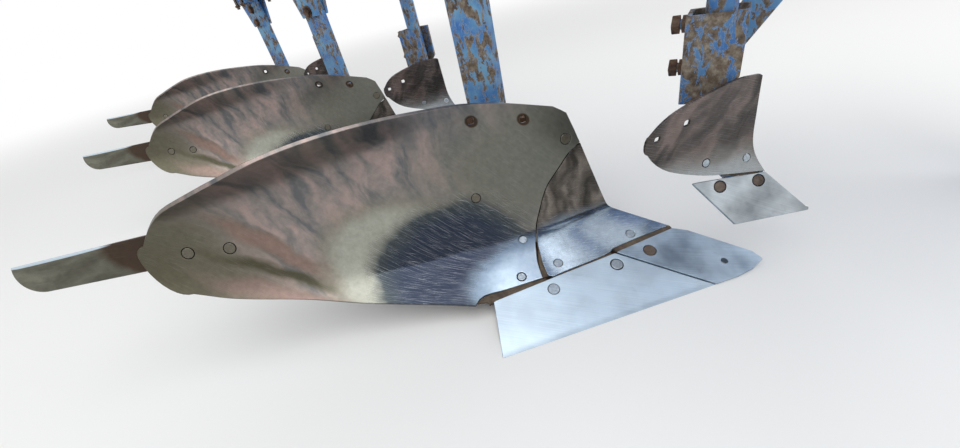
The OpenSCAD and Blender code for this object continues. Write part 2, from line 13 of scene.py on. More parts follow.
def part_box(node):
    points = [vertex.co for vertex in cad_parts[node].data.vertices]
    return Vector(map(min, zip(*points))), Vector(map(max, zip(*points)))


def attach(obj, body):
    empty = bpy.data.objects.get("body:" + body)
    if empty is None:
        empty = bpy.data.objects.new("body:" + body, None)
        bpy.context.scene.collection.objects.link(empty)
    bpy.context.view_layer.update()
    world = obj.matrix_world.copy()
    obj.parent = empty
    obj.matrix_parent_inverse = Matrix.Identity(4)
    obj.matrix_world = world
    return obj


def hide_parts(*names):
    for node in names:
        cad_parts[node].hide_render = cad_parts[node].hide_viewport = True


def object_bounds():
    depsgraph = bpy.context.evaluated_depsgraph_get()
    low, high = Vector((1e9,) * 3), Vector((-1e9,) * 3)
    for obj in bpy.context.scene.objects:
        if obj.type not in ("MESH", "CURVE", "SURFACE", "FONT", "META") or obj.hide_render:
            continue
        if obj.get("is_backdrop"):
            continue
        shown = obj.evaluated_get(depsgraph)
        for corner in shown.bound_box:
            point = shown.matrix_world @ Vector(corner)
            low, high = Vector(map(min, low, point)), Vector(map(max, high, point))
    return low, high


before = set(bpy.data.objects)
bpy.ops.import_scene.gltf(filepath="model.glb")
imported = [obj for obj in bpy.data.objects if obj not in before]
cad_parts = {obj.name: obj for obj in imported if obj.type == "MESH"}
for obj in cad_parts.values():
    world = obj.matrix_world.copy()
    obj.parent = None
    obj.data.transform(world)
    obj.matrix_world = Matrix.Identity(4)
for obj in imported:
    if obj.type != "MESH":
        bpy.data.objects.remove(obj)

bl_info = {
    "name": "Moldboard plough",
    "version": (1, 0, 0),
    "blender": (4, 5, 0),
    "location": "3D View > Sidebar > Plough",
    "description": "Dresses the packed plough with fine plates, bolts, welds and materials",
    "category": "Object",
}

MM = 0.001
BODIES = (1, 2, 3)
FRAME_BODY = "frame"
# Which of a plate's two finishes is behind, and the power that draws a hole square
BEHIND, SQUARE = 1, 4

# ---------------------------------------------------------------- shape of a plough body
# The same values as the CAD source, in millimetres from the tip of the body's point.
SHARE_HEADING, SHARE_SLOPE, SHARE_REACH = 43.5, 20.0, 37.0
SHARE_T, POINT_T, BOARD_T, SHIN_T = 11.0, 15.0, 8.0, 10.0
POINT_PROUD = 3.0
LEG_BACK, LEG_SIDE = 596.0, -20.0
# Height, angle of the face's level lines at the shin, curl of that angle towards the wing
FACE_ANGLES = np.array([
    (0, 43.5, -5), (50, 43.5, -3), (100, 44.7, -1.2), (200, 45.2, -2),
    (300, 46.1, -3), (370, 49.9, -3.8), (440, 59.6, -5),
], float)
CURL_AT = 900.0
SHIN_FOOT, SHIN_LEAN = -287.4, 0.347
# Distance back along the face, roundness of the bend between the share's slope and the steep face
BEND_AT = np.array([
    (0, 8), (100, 22), (200, 31), (341, 42), (521, 68), (900, 183), (1000, 225)], float)
# Distance back along the face, height
SEAM_LINE = np.array([
    (0, 252), (32, 239), (74, 210), (114, 182), (142, 153), (164, 127), (201, 95), (248, 77),
    (304, 60), (347, 46),
], float)
FOOT_LINE = np.array([(347, 47.5), (436, 48), (483, 49), (524, 43.5)], float)
HEEL_LINE = np.array([(524, 43.5), (618, 73), (745, 131), (872, 177), (925, 204)], float)
TOP_LINE = np.array([
    (0, 333), (71, 360), (141, 385), (212, 404), (275, 415), (389, 431), (496, 437),
    (585, 431), (667, 412), (742, 392), (812, 372), (873, 343), (925, 310),
], float)
# Distance back of the moldboard's foot, heel and wing's end; the wing's heights and reach
FOOT_AT, HEEL_AT, WING_AT = 347, 524, 925
WING_LOW, WING_HIGH, WING_REACH = 204, 310, 42.0
SHIN_LOW = np.array([(0, 55), (158, 52), (178, 49.5), (300, 46.5), (347, 45)], float)
SHIN_OPENS, SHIN_END, SEAM_WEDGE, FACE_JOINT = 230.0, 332.0, 3.0, 1.5
# Distance along the share's edge, distance up its slope
SHARE_OUTLINE = [(157, 0), (613, 0), (593, 118.5), (469, 127), (305, 137)]
POINT_OUTLINE = [
    (35, 19), (71, 5), (107, 0), (155.5, 0), (303, 137), (158, 150), (131, 133), (43, 41)]
STRIP_AT, STRIP_RISE, STRIP_UP, STRIP_W, STRIP_L, STRIP_T = (820, 262), 4.5, 25.0, 82.0, 450.0, 8.0
STRIP_GAP = 0.7
# Skimmer: height, shin edge ahead of the tip; height, angle
SKIM_EDGE = np.array([(200, -27), (235, -48), (265, -57), (320, -60), (390, -62)], float)
SKIM_ANGLES = np.array([(200, 41), (265, 43), (320, 45.5), (390, 50)], float)
SKIM_LOW = np.array([(0, 204), (76, 218), (115, 228), (167, 251), (194, 274), (212, 300)], float)
SKIM_TOP = np.array(
    [(0, 383), (52, 388), (105, 382), (150, 373), (181, 362), (204, 345), (212, 335)], float)
SKIM_TIP, SKIM_HEADING, SKIM_SLOPE = (51, 0, 130), 33.7, 59.0
SKIM_OUTLINE = [(0, 0), (137, 0), (201, 92), (66.5, 86)]
SKIM_T, SKIM_SHARE_T = 6.0, 8.0
# End of the skimmer board's wing: distance back, reach, heights
SKIM_WING = (212, 7, 300, 335)
# Upright line on which heights are measured on a face: distance back, lowest, highest
BODY_UPRIGHT, SKIM_UPRIGHT = (170, 40, 440), (100, 195, 395)
# Mesh of a plate, by its cell: spacing of rim points and of rows, and how far rows keep off rims
RIM_STEP, ROW_STEP, RIM_CLEAR = 0.55, 0.866, 0.45

# Flush bolts, by piece: place on the face, radius of the head, width of its ring in gaps. The
# tip's hole is empty, and the holes without a ring are square.
BOARD_BOLTS = [
    (371, 54.3, 9, 1.8), (248, 90, 9, 0.6), (275.4, 204.4, 10, 0.6), (28.6, 269.4, 12, 0.6),
    (867.5, 273.5, 11, 1), (789.5, 259.7, 11, 1)]
BOARD_HOLES = [(204.5, 364.8, 7), (99.7, 336.1, 7)]
SHIN_BOLTS = [(278, 55.3, 9.5, 0.6), (81, 59, 9.5, 0.6)]
SHARE_BOLTS = [(464.4, 102.5, 12, 0.6), (315.2, 110.3, 12, 2)]
POINT_BOLTS = [(234.5, 115.8, 13, 0.8)]
TIP_HOLE = [(109, 40.4, 6.5, 0)]
SKIM_HOLES = [(143.3, 339.7, 5.5), (197, 326, 5)]
SKIM_BOLTS = [(96.9, 248.6, 7, 1), (19.4, 236.3, 7, 0.7)]
SKIM_SHARE_BOLTS = [(152.2, 75.5, 10, 1.5), (81.9, 72.5, 10, 1.5)]


def along(table, x, column=1):
    """Smooth curve through a table's rows."""
    k = 0
    while k < len(table) - 2 and x >= table[k + 1][0]:
        k += 1

    def slope(i):
        lo, hi = table[max(i - 1, 0)], table[min(i + 1, len(table) - 1)]
        return (hi[column] - lo[column]) / (hi[0] - lo[0])

    a, b = table[k], table[k + 1]
    w = b[0] - a[0]
    u = min(1.0, max(0.0, (x - a[0]) / w))
    return (
        (2 * u**3 - 3 * u**2 + 1) * a[column]
        + (u**3 - 2 * u**2 + u) * w * slope(k)
        + (3 * u**2 - 2 * u**3) * b[column]
        + (u**3 - u**2) * w * slope(k + 1)
    )


def sampled(table, start, end, count, offset=0.0):
    """Points on a table's curve, moved up by offset."""
    return [(s, along(table, s) + offset) for s in np.linspace(start, end, count)]


def body_face(s, z):
    """Point of the working face: s back from the shin edge, z above the ground."""
    share_run = 1 / (math.tan(math.radians(SHARE_SLOPE)) * math.sin(math.radians(SHARE_HEADING)))
    h = math.radians(along(FACE_ANGLES, z) + along(FACE_ANGLES, z, 2) * (s / CURL_AT) ** 2)
    a, b = SHARE_REACH - share_run * z, SHIN_FOOT - SHIN_LEAN * z
    edge = (a + b) / 2 + math.hypot((a - b) / 2, along(BEND_AT, s))
    return Vector((edge - s * math.cos(h), -s * math.sin(h), z))


def skimmer_face(s, z):
    """Point of the skimmer board's face."""
    h = math.radians(along(SKIM_ANGLES, z))
    return Vector((along(SKIM_EDGE, z) - s * math.cos(h), -s * math.sin(h), z))


def back_normal(face, a, b, step=1):
    """Unit normal that points behind a face."""
    across = face(a + step, b) - face(a - step, b)
    return across.cross(face(a, b + step) - face(a, b - step)).normalized()


def on_face(face, line, low, high):
    """Placing function for a sheet on a curved face, held at the land side, and the function
    that turns (distance back, height) into the sheet's own coordinates. Their second one runs
    up the face, measured along the upright line at distance back line."""
    heights = np.arange(low, high + 1.0)
    steps = np.diff([tuple(face(line, z)) for z in heights], axis=0)
    climbed = np.concatenate(([0.0], np.cumsum(np.linalg.norm(steps, axis=1))))

    def place(a, b, depth=0.0):
        z = float(np.interp(b, climbed, heights))
        p = face(a, z)
        if depth:
            p = p + back_normal(face, a, z) * depth
            if p.y > 0:
                t = face(a + 1, z) - face(a - 1, z)
                p = p - t * (p.y / t.y)
        return p

    def flat(a, z):
        return a, float(np.interp(z, heights, climbed))

    return place, flat


def on_share(origin, heading, slope, proud=0.0):
    """Placing function for a flat share: along its edge, up its slope and behind it, never
    below the ground nor past the land side."""
    h, s = math.radians(heading), math.radians(slope)
    u = Vector((-math.cos(h), -math.sin(h), 0))
    w = Vector((-math.sin(h) * math.sin(s), math.cos(h) * math.sin(s), -math.cos(s)))
    v = w.cross(u)

    def place(a, b, depth=0.0):
        p = Vector(origin) + u * a + v * b + w * (depth - proud)
        if p.y > 0:
            p = p - u * (p.y / u.y)
        if p.z < 0:
            p.z = 0.0
        return p

    return place


share_face = on_share((SHARE_REACH, 0, 0), SHARE_HEADING, SHARE_SLOPE)
point_face = on_share((SHARE_REACH, 0, 0), SHARE_HEADING, SHARE_SLOPE, POINT_PROUD)
skimmer_share_face = on_share(SKIM_TIP, SKIM_HEADING, SKIM_SLOPE)


def on_strip():
    """Placing function for the tail strip behind the wing."""
    s, z = STRIP_AT
    w = back_normal(body_face, s, z)
    t = (body_face(s + 1, z) - body_face(s - 1, z)).normalized()
    u = (t - w * t.dot(w)).normalized()
    v = w.cross(u)
    turn = math.radians(STRIP_RISE)
    origin = body_face(s, z) + v * STRIP_UP + w * (BOARD_T + STRIP_GAP)
    back = u * math.cos(turn) + v * math.sin(turn)
    up = v * math.cos(turn) - u * math.sin(turn)

    def place(a, b, depth=0.0):
        return origin + back * a + up * b + w * depth

    return place


def body_origin(i):
    """The tip of body i's point on the ground, in metres in the row frame."""
    lo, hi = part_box(f"leg_{i}")
    return Vector(((lo.x + hi.x) / 2 + LEG_BACK * MM, lo.y - LEG_SIDE * MM, 0))


def in_row(i, p):
    """A point of body i, in millimetres, to the row frame in metres."""
    return body_origin(i) + Vector(p) * MM


# ---------------------------------------------------------------- mesh tools
def rounded(points, radii, step=2.5, most=0.48):
    """A closed outline whose corners are rounded, each by its radius, with points about step
    apart. No corner takes more than most of a side."""
    out = []
    for k, r in enumerate(radii):
        p, a, b = Vector(points[k]), Vector(points[k - 1]), Vector(points[(k + 1) % len(points)])
        if r <= 0:
            out.append(tuple(p))
            continue
        da, db = (a - p).normalized(), (b - p).normalized()
        half = math.acos(max(-1, min(1, da.dot(db)))) / 2
        cut = min(r / math.tan(half), (a - p).length * most, (b - p).length * most)
        count = max(3, int(cut / step) + 2)
        for j in range(count + 1):
            u = j / count
            q = (p + da * cut) * (1 - u) ** 2 + p * 2 * u * (1 - u) + (p + db * cut) * u**2
            out.append((q.x, q.y))
    return out


def spaced(loop, step, bulge=0.08):
    """The same closed loop, anticlockwise, with points no further apart than step. Its straight
    sides bulge by a hair, so that no three points are in line."""
    if sum(a[0] * b[1] - b[0] * a[1] for a, b in zip(loop, loop[1:] + loop[:1])) < 0:
        loop = loop[::-1]
    out = []
    for k, p in enumerate(loop):
        q = loop[(k + 1) % len(loop)]
        d = math.dist(p, q)
        if d < 1e-6:
            continue
        n = max(1, math.ceil(d / step))
        x, y = (q[0] - p[0]) / n, (q[1] - p[1]) / n
        for j in range(n):
            hair = bulge * j * (n - j) / n**2 * n / d
            out.append((p[0] + x * j + y * hair, p[1] + y * j - x * hair))
    return out


def ring(place, x, y, r, power=2.0, count=28):
    """A hole that is round on the surface itself, or with a higher power a square one with
    round corners, in the sheet's own coordinates."""
    ahead = place(x + 0.5, y) - place(x - 0.5, y)
    up = place(x, y + 0.5) - place(x, y - 0.5)
    e = ahead.normalized()
    f = (up - e * up.dot(e)).normalized()
    out = []
    for k in range(count):
        a = 2 * math.pi * k / count
        p, q = (r * math.copysign(abs(v) ** (2 / power), v) for v in (math.cos(a), math.sin(a)))
        rise = q / up.dot(f)
        out.append((x + (p - rise * up.dot(e)) / ahead.length, y + rise))
    return out


def inside(points, loop):
    """Which points lie inside a closed loop."""
    p, a = np.asarray(points), np.asarray(loop)
    b = np.roll(a, -1, axis=0)
    x, y = p[:, :1], p[:, 1:]
    cross = (a[None, :, 1] > y) != (b[None, :, 1] > y)
    dy = np.where(b[:, 1] == a[:, 1], 1e-12, b[:, 1] - a[:, 1])
    at = a[None, :, 0] + (y - a[None, :, 1]) / dy[None] * (b - a)[None, :, 0]
    return (cross & (x < at)).sum(1) % 2 == 1


def distance(points, loop):
    """Distance of each point from a closed loop."""
    p, a = np.asarray(points)[:, None], np.asarray(loop)[None]
    d = np.roll(a, -1, axis=1) - a
    t = np.clip(((p - a) * d).sum(2) / np.maximum((d * d).sum(2), 1e-12), 0, 1)
    return np.linalg.norm(p - a - t[..., None] * d, axis=2).min(1)


class Shell:
    """Collects vertices, faces, normals and surface coordinates of a closed mesh."""

    def __init__(self):
        self.co, self.faces, self.normals, self.uv, self.sides = [], [], [], [], []

    def point(self, p):
        self.co.append(tuple(p))
        return len(self.co) - 1

    def face(self, corners, normals, uvs, side=0):
        self.faces.append(corners)
        self.normals += normals
        self.uv += uvs
        self.sides.append(side)

    def mesh(self, name):
        m = bpy.data.meshes.new(name)
        m.from_pydata(self.co, [], self.faces)
        layer = m.uv_layers.new(name="surface")
        layer.data.foreach_set("uv", np.array(self.uv, np.float32).ravel())
        m.shade_smooth()
        m.polygons.foreach_set("material_index", self.sides)
        m.normals_split_custom_set([tuple(n) for n in self.normals])
        return m


def add_sheet(shell, outline, holes, place, thickness, edge, cell):
    """Adds a plate with holes and softened edges to the shell, on the first body."""
    loops = [spaced(outline, cell * RIM_STEP)] + [h[::-1] for h in holes]
    lo, hi = np.min(loops[0], 0), np.max(loops[0], 0)
    grid = [
        (x + (cell / 2 if row % 2 else 0), y)
        for row, y in enumerate(np.arange(lo[1], hi[1], cell * ROW_STEP))
        for x in np.arange(lo[0], hi[0], cell)
    ]

    def on_plate(points):
        kept = inside(points, loops[0])
        for loop in loops[1:]:
            kept &= ~inside(points, loop)
        return kept

    clear = on_plate(grid)
    flat, edges = [], []
    for loop in loops:
        clear &= distance(grid, loop) > cell * RIM_CLEAR
        s, n = len(flat), len(loop)
        edges += [(s + j, s + (j + 1) % n) for j in range(n)]
        flat += loop
    rims = len(flat)
    flat += [g for g, k in zip(grid, clear) if k]
    got, _, tris, origin = delaunay_2d_cdt([Vector(p) for p in flat], edges, [], 0, 1e-5)[:4]
    index = [o[0] if o else -1 for o in origin]
    mid = [tuple(sum((got[c] for c in t), Vector((0, 0))) / 3) for t in tris]

    normal = [back_normal(place, a, b, 0.5) for a, b in flat]
    # The outward direction along the plate at each point of its rims
    after, before = dict(edges), {q: p for p, q in edges}
    outward = []
    for k in range(rims):
        a, b = Vector(flat[before[k]]), Vector(flat[after[k]])
        run, line = (b - a).normalized(), place(*b) - place(*a)
        x, y = flat[k]
        o = place(x + run.y * 0.5, y - run.x * 0.5) - place(x, y)
        o = o - normal[k] * o.dot(normal[k])
        o = o - line * (o.dot(line) / max(line.length_squared, 1e-9))
        outward.append(o.normalized() if o.length > 1e-6 else Vector((0, 0, 0)))

    def put(k, depth, drawn_in=0.0):
        p = place(*flat[k], depth)
        if drawn_in and k < rims:
            p = p - outward[k] * drawn_in
        return shell.point(in_row(1, (p.x, min(p.y, 0.0), max(p.z, 0.0))))

    def tone(k, side):
        return normal[k] * side if side else outward[k]

    front = [put(k, 0.0, edge) for k in range(len(flat))]
    back = [put(k, thickness, edge) for k in range(len(flat))]
    wall_a, wall_b = ([put(k, d) for k in range(rims)] for d in (edge, thickness - edge))
    uv = [(a * MM, b * MM) for a, b in flat]
    for tri, kept in zip(tris, on_plate(mid)):
        c = [index[k] for k in tri]
        if kept and min(c) >= 0:
            for layer, side, order in ((front, -1, c[::-1]), (back, 1, c)):
                shell.face(
                    [layer[k] for k in order], [tone(k, side) for k in order],
                    [uv[k] for k in order], BEHIND if side == 1 else 0)
    layers = ((front, -1), (wall_a, 0), (wall_b, 0), (back, 1))
    for p, q in edges:
        for (r0, w0), (r1, w1) in zip(layers, layers[1:]):
            shell.face(
                [r0[p], r0[q], r1[q], r1[p]], [tone(p, w0), tone(q, w0), tone(q, w1), tone(p, w1)],
                [uv[p], uv[q], uv[q], uv[p]], BEHIND if w1 == 1 else 0)


def placed(name, data):
    """A new object in the scene."""
    thing = bpy.data.objects.new(name, data)
    bpy.context.scene.collection.objects.link(thing)
    return thing


def dressed(mesh, name, finishes, body, *nodes):
    """A finished piece from a mesh: it rides on its body, stands for CAD nodes, and has the
    slot of its first finish."""
    piece = placed(name, mesh)
    sides = np.zeros(len(mesh.polygons), np.int32)
    mesh.polygons.foreach_get("material_index", sides)
    mesh.materials.clear()
    for m in finishes:
        mesh.materials.append(bpy.data.materials[m])
    mesh.polygons.foreach_set("material_index", np.minimum(sides, len(finishes) - 1))
    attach(piece, body)
    if nodes:
        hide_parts(*nodes)


def plate(settings, name, node, finish, surface, outline, bolts, holes, thickness, cell, soft=1.0):
    """Makes the same plate on every body. surface is its placing function and the one that
    turns (distance back, height) into the sheet's own coordinates."""
    place, flat = surface
    gap, edge = settings.gap / MM, settings.edge / MM
    cuts = [ring(place, *flat(a, b), r + gap * w) for a, b, r, w in bolts]
    cuts += [ring(place, *flat(a, b), r, SQUARE) for a, b, r in holes]
    shell = Shell()
    add_sheet(shell, [flat(*q) for q in outline], cuts, place, thickness, edge * soft, cell)
    first = shell.mesh(name + "_mesh")
    for i in BODIES:
        mesh = first if i == 1 else first.copy()
        finishes = [finish, "rolled_steel_back"]
        dressed(mesh, f"{name}_{i}", finishes, FRAME_BODY, f"{node}_{i}")
    for i in BODIES[1:]:
        bpy.data.objects[f"{name}_{i}"].data.transform(
            Matrix.Translation(body_origin(i) - body_origin(1)))


@contextmanager
def edited(mesh):
    """A mesh's faces for editing, written back at the end."""
    bm = bmesh.new()
    bm.from_mesh(mesh)
    yield bm
    bm.to_mesh(mesh)
    bm.free()


def softened(node, width):
    """A copy of a CAD node's mesh with merged faces and bevelled edges."""
    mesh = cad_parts[node].data.copy()
    with edited(mesh) as bm:
        bmesh.ops.remove_doubles(bm, verts=bm.verts, dist=2e-5)
        bmesh.ops.dissolve_limit(
            bm, angle_limit=math.radians(0.5), use_dissolve_boundaries=False,
            verts=bm.verts, edges=bm.edges)
    if "custom_normal" in mesh.attributes:
        mesh.attributes.remove(mesh.attributes["custom_normal"])
    while mesh.uv_layers:
        mesh.uv_layers.remove(mesh.uv_layers[0])
    mesh.shade_smooth()
    draft = placed(node + "_draft", mesh)
    bevel = draft.modifiers.new("edges", "BEVEL")
    bevel.width = width
    bevel.segments = 2
    bevel.limit_method = "ANGLE"
    bevel.angle_limit = math.radians(32)
    bevel.harden_normals = True
    return settled(draft, node + "_mesh")


def settled(draft, name):
    """The evaluated mesh of a draft object, which is then removed."""
    bpy.context.view_layer.update()
    ready = draft.evaluated_get(bpy.context.evaluated_depsgraph_get())
    mesh = bpy.data.meshes.new_from_object(ready)
    mesh.name = name
    bpy.data.objects.remove(draft)
    return mesh


# ---------------------------------------------------------------- node helpers
RAMP, MIX, NOISE, MAPPING = (
    "ShaderNodeValToRGB", "ShaderNodeMix", "ShaderNodeTexNoise", "ShaderNodeMapping")
MATH, VECTOR, BUMP = "ShaderNodeMath", "ShaderNodeVectorMath", "ShaderNodeBump"
COLOURS = {"data_type": "RGBA"}
TIMES, PLUS, OVER = ({**COLOURS, "blend_type": b} for b in ("MULTIPLY", "ADD", "OVERLAY"))


def colour(code):
    """An sRGB hex colour as a linear one."""
    c = [int(code[k:k + 2], 16) / 255 for k in (1, 3, 5)]
    return tuple(v / 12.92 if v <= 0.04045 else ((v + 0.055) / 1.055) ** 2.4 for v in c) + (1.0,)


def grey(v):
    """A linear grey."""
    return (v, v, v, 1)


def feed(node, inputs):
    """Gives a node its inputs: a socket is linked, a node by its first output in use, and
    anything else is set as the value."""
    for key, value in inputs.items():
        if isinstance(value, bpy.types.Node):
            value = next(s for s in value.outputs if s.enabled)
        if isinstance(value, bpy.types.NodeSocket):
            node.id_data.links.new(value, node.inputs[key])
        else:
            node.inputs[key].default_value = value


def add(tree, kind, inputs=None, stops=(), **settings):
    """Adds a node with its inputs and settings; stops are a ramp's (place, hex colour or grey)."""
    node = tree.nodes.new(kind)
    for key, value in settings.items():
        setattr(node, key, value)
    feed(node, inputs or {})
    if stops:
        marks = node.color_ramp.elements
        while len(marks) < len(stops):
            marks.new(0.5)
        for mark, (at, tone) in zip(marks, stops):
            mark.position = at
            mark.color = colour(tone) if isinstance(tone, str) else grey(tone)
    return node


def material(name):
    """An empty node material: its tree, its Principled shader and its Object coordinates."""
    m = bpy.data.materials.new(name)
    m.use_nodes = True
    t = m.node_tree
    t.nodes.clear()
    shader = add(t, "ShaderNodeBsdfPrincipled")
    add(t, "ShaderNodeOutputMaterial", {0: shader})
    return t, shader, add(t, "ShaderNodeTexCoord").outputs["Object"]


def noise(tree, vector, size, detail=4.0, rough=0.55, stretch=(1, 1, 1), turn=0.0, bend=0.0):
    """Noise whose blotches are about size metres across, stretched along turned axes."""
    at = add(tree, MAPPING, {
        0: vector, 2: (0, 0, turn), 3: tuple(size * k for k in stretch)}, vector_type="TEXTURE")
    return add(tree, NOISE, {
        0: at, "Scale": 1.0, "Detail": detail, "Roughness": rough, "Distortion": bend})


# ---------------------------------------------------------------- materials
def zone(tree, vector, middle, size, turn=0.0, stops=()):
    """A ramp of colours out from the middle of an oval, whose rim is at 0.5, and a mask."""
    at = add(tree, MAPPING, {
        0: vector, 1: (*middle, 0), 2: (0, 0, turn), 3: (*size, 1)}, vector_type="TEXTURE")
    out = add(tree, VECTOR, {0: at}, operation="LENGTH")
    half = add(tree, MATH, {0: out, 1: 0.5}, operation="MULTIPLY")
    return add(tree, RAMP, {0: half}, stops), half


def scoured_steel(
        name, tones, scratch, line_turn, gloss, zones, spots=(), metal=0.85, flow_turn=0.05):
    """Hardened steel that soil has polished: mirror bright, with fine scratches that run back
    along the face. tones are its dark, middle and light; each zone is an oval of painted colour,
    a painted reflection on the polished faces and, at the tail strip's root, rust with painted
    shade: (middle, size, turn, colours outwards, mask outwards, how clear the scratches are);
    each spot is a sharp painted mark, a dark brown ring round a hole or a painted highlight:
    (middle, size, turn, colour)."""
    t, shader, place = material(name)
    surface = add(t, "ShaderNodeUVMap", uv_map="surface")
    warp = add(t, NOISE, {0: surface, "Scale": 9.0, "Detail": 3.0}).outputs[1]
    push = add(t, VECTOR, {0: warp, 1: (0.5, 0.5, 0.5)}, operation="SUBTRACT")
    push = add(t, VECTOR, {0: push, "Scale": 0.07}, operation="SCALE")
    bent = add(t, VECTOR, {0: surface, 1: push}, operation="ADD")
    flow = noise(t, bent, 0.05, 3, 0.5, (0.8, 2.6, 1), flow_turn, 0.8)
    tone = add(t, RAMP, {0: flow}, tuple(zip((0.34, 0.5, 0.66), tones)))
    clear = grey(scratch)
    # Ovals of painted colour over the tone: painted reflections, and rust with painted shade
    for middle, size, turn, colours, mask, clearer in zones:
        ring_tone, out = zone(t, bent, middle, size, turn, colours)
        here = add(t, RAMP, {0: out}, mask)
        tone = add(t, MIX, {0: here, 6: tone, 7: ring_tone}, **COLOURS)
        clear = add(t, MIX, {0: here, 6: clear, 7: grey(clearer)}, **COLOURS)
    fine = noise(t, surface, 0.0011, 3, 0.6, (60, 1, 1), line_turn)
    fine = add(t, RAMP, {0: fine}, ((0.56, 0.0), (0.70, 1.0)))
    crossing = noise(t, surface, 0.0013, 2, 0.5, (38, 1, 1), line_turn - 0.5)
    crossing = add(t, RAMP, {0: crossing}, ((0.66, 0.0), (0.74, 1.0)))
    both = add(t, MIX, {0: 1.0, 6: fine, 7: crossing}, **PLUS)
    seen = add(t, MIX, {0: 1.0, 6: both, 7: clear}, **TIMES)
    shade = add(t, MIX, {0: 0.3, 6: tone, 7: noise(t, place, 0.012, 5, 0.65)}, **OVER)
    shade = add(t, MIX, {0: seen, 6: shade, 7: colour("#d8dbe0")}, **COLOURS)
    # Sharp marks on top: dark brown rings round holes, and painted highlights
    for middle, size, turn, marking in spots:
        inner, out = zone(t, surface, middle, size, turn, ((0.0, marking), (1.0, marking)))
        here = add(t, RAMP, {0: out}, ((0.42, 1.0), (0.54, 0.0)))
        shade = add(t, MIX, {0: here, 6: shade, 7: inner}, **COLOURS)
    smooth = add(t, RAMP, {0: clear}, ((0.1, gloss), (0.4, 0.1)))
    wave = noise(t, place, 0.09, 2, 0.4)
    swell = add(t, BUMP, {"Strength": 0.3, "Distance": 0.0014, "Height": wave})
    feed(shader, {
        "Base Color": shade, "Metallic": metal,
        "Roughness": add(t, MIX, {0: both, 6: smooth, 7: grey(0.4)}, **COLOURS),
        "Normal": add(t, BUMP, {
            "Strength": 0.25, "Distance": 0.00006, "Height": both, "Normal": swell}, invert=True)})


def ground_steel(name, bright, dark, turn, grime):
    """Share steel fresh from the grinder: bright parallel lines about 1 mm apart,
    drawn as coarse as they need to show, with blooms of grime here and there."""
    t, shader, place = material(name)
    surface = add(t, "ShaderNodeUVMap", uv_map="surface")
    lines = noise(t, surface, 0.0014, 3, 0.6, (90, 1, 1), turn)
    broad = add(t, RAMP, {0: noise(t, place, 0.07, 3, 0.5)}, ((0.32, dark), (0.62, bright)))
    streaks = add(t, RAMP, {0: lines}, ((0.3, 0.35), (0.7, 0.65)))
    tone = add(t, MIX, {0: 0.5, 6: broad, 7: streaks}, **OVER)
    marking = add(t, RAMP, {0: noise(t, place, 0.03, 6, 0.7)}, ((0.60, 0.0), (0.74, grime)))
    feed(shader, {
        "Base Color": add(t, MIX, {0: marking, 6: tone, 7: colour("#5f4a38")}, **COLOURS),
        "Roughness": add(t, RAMP, {0: lines}, ((0.25, 0.40), (0.75, 0.56))), "Metallic": 1.0,
        "Normal": add(t, BUMP, {"Strength": 0.5, "Distance": 0.00012, "Height": lines})})


def dull_steel(name, bright, dark, rust_tone, amount):
    """Rolled steel bar worn by soil: dull grey with brown rust left in its pits."""
    t, shader, place = material(name)
    grain = noise(t, place, 0.004, 5, 0.6)
    broad = noise(t, place, 0.05, 5, 0.6, bend=0.4)
    base = add(t, RAMP, {0: grain}, ((0.35, dark), (0.65, bright)))
    rusty = add(t, RAMP, {0: grain}, ((0.3, rust_tone), (0.7, "#8a5a38")))
    patch = add(t, RAMP, {0: broad}, ((0.62 - amount, 0.0), (0.70 - amount, 1.0)))
    feed(shader, {
        "Base Color": add(t, MIX, {0: patch, 6: base, 7: rusty}, **COLOURS),
        "Roughness": add(t, RAMP, {0: patch}, ((0, 0.36), (1, 0.85))),
        "Metallic": add(t, RAMP, {0: patch}, ((0, 0.95), (1, 0.1))),
        "Normal": add(t, BUMP, {"Strength": 0.5, "Distance": 0.0006, "Height": grain})})


def rust(name, light, dark, soil):
    """Forged and cast steel left in the weather: brown rust, scaly and matt, with dry
    soil caught in its roughness."""
    t, shader, place = material(name)
    grain = noise(t, place, 0.003, 6, 0.7)
    patch = noise(t, place, 0.035, 6, 0.65, bend=0.6)
    tone = add(t, RAMP, {0: patch}, ((0.34, dark), (0.5, light), (0.68, soil)))
    scale = add(t, RAMP, {0: grain}, ((0.3, 0.25), (0.7, 0.75)))
    feed(shader, {
        "Base Color": add(t, MIX, {0: 0.5, 6: tone, 7: scale}, **OVER),
        "Roughness": 0.85, "Metallic": 0.0,
        "Normal": add(t, BUMP, {"Strength": 0.8, "Distance": 0.0012, "Height": grain})})


def enamel(name, blue, worn, bare):
    """Brushed machine enamel: bright blue where it holds, chalked by weather, chipped
    through to brown rust. bare is how much of it is gone."""
    t, shader, place = material(name)
    grain = noise(t, place, 0.0025, 5, 0.7)
    chip = noise(t, place, 0.022, 9, 0.72, (1, 1, 1.9), bend=0.5)
    chalk = noise(t, place, 0.06, 4, 0.6)
    paint = add(t, RAMP, {0: chalk}, ((0.35, blue), (0.65, worn)))
    rusty = add(t, RAMP, {0: noise(t, place, 0.012, 6, 0.7)}, (
        (0.3, "#3f352d"), (0.46, "#6b5c4d"), (0.6, "#8b8071"), (0.74, "#a9a294")))
    gone = add(t, RAMP, {0: chip}, ((0.66 - bare, 0.0), (0.675 - bare, 1.0)))
    rim = add(t, RAMP, {0: chip}, ((0.64 - bare, 0.0), (0.66 - bare, 1.0), (0.68 - bare, 0.0)))
    paint = add(t, MIX, {0: rim, 6: paint, 7: colour("#8fa9c6")}, **COLOURS)
    pits = add(t, MIX, {0: 1.0, 6: grain, 7: grey(0.5)}, **TIMES)
    height = add(t, MIX, {0: gone, 6: grey(1), 7: pits}, **COLOURS)
    feed(shader, {
        "Base Color": add(t, MIX, {0: gone, 6: paint, 7: rusty}, **COLOURS),
        "Roughness": add(t, RAMP, {0: gone}, ((0, 0.42), (1, 0.88))),
        "Normal": add(t, BUMP, {"Strength": 0.7, "Distance": 0.0006, "Height": height})})


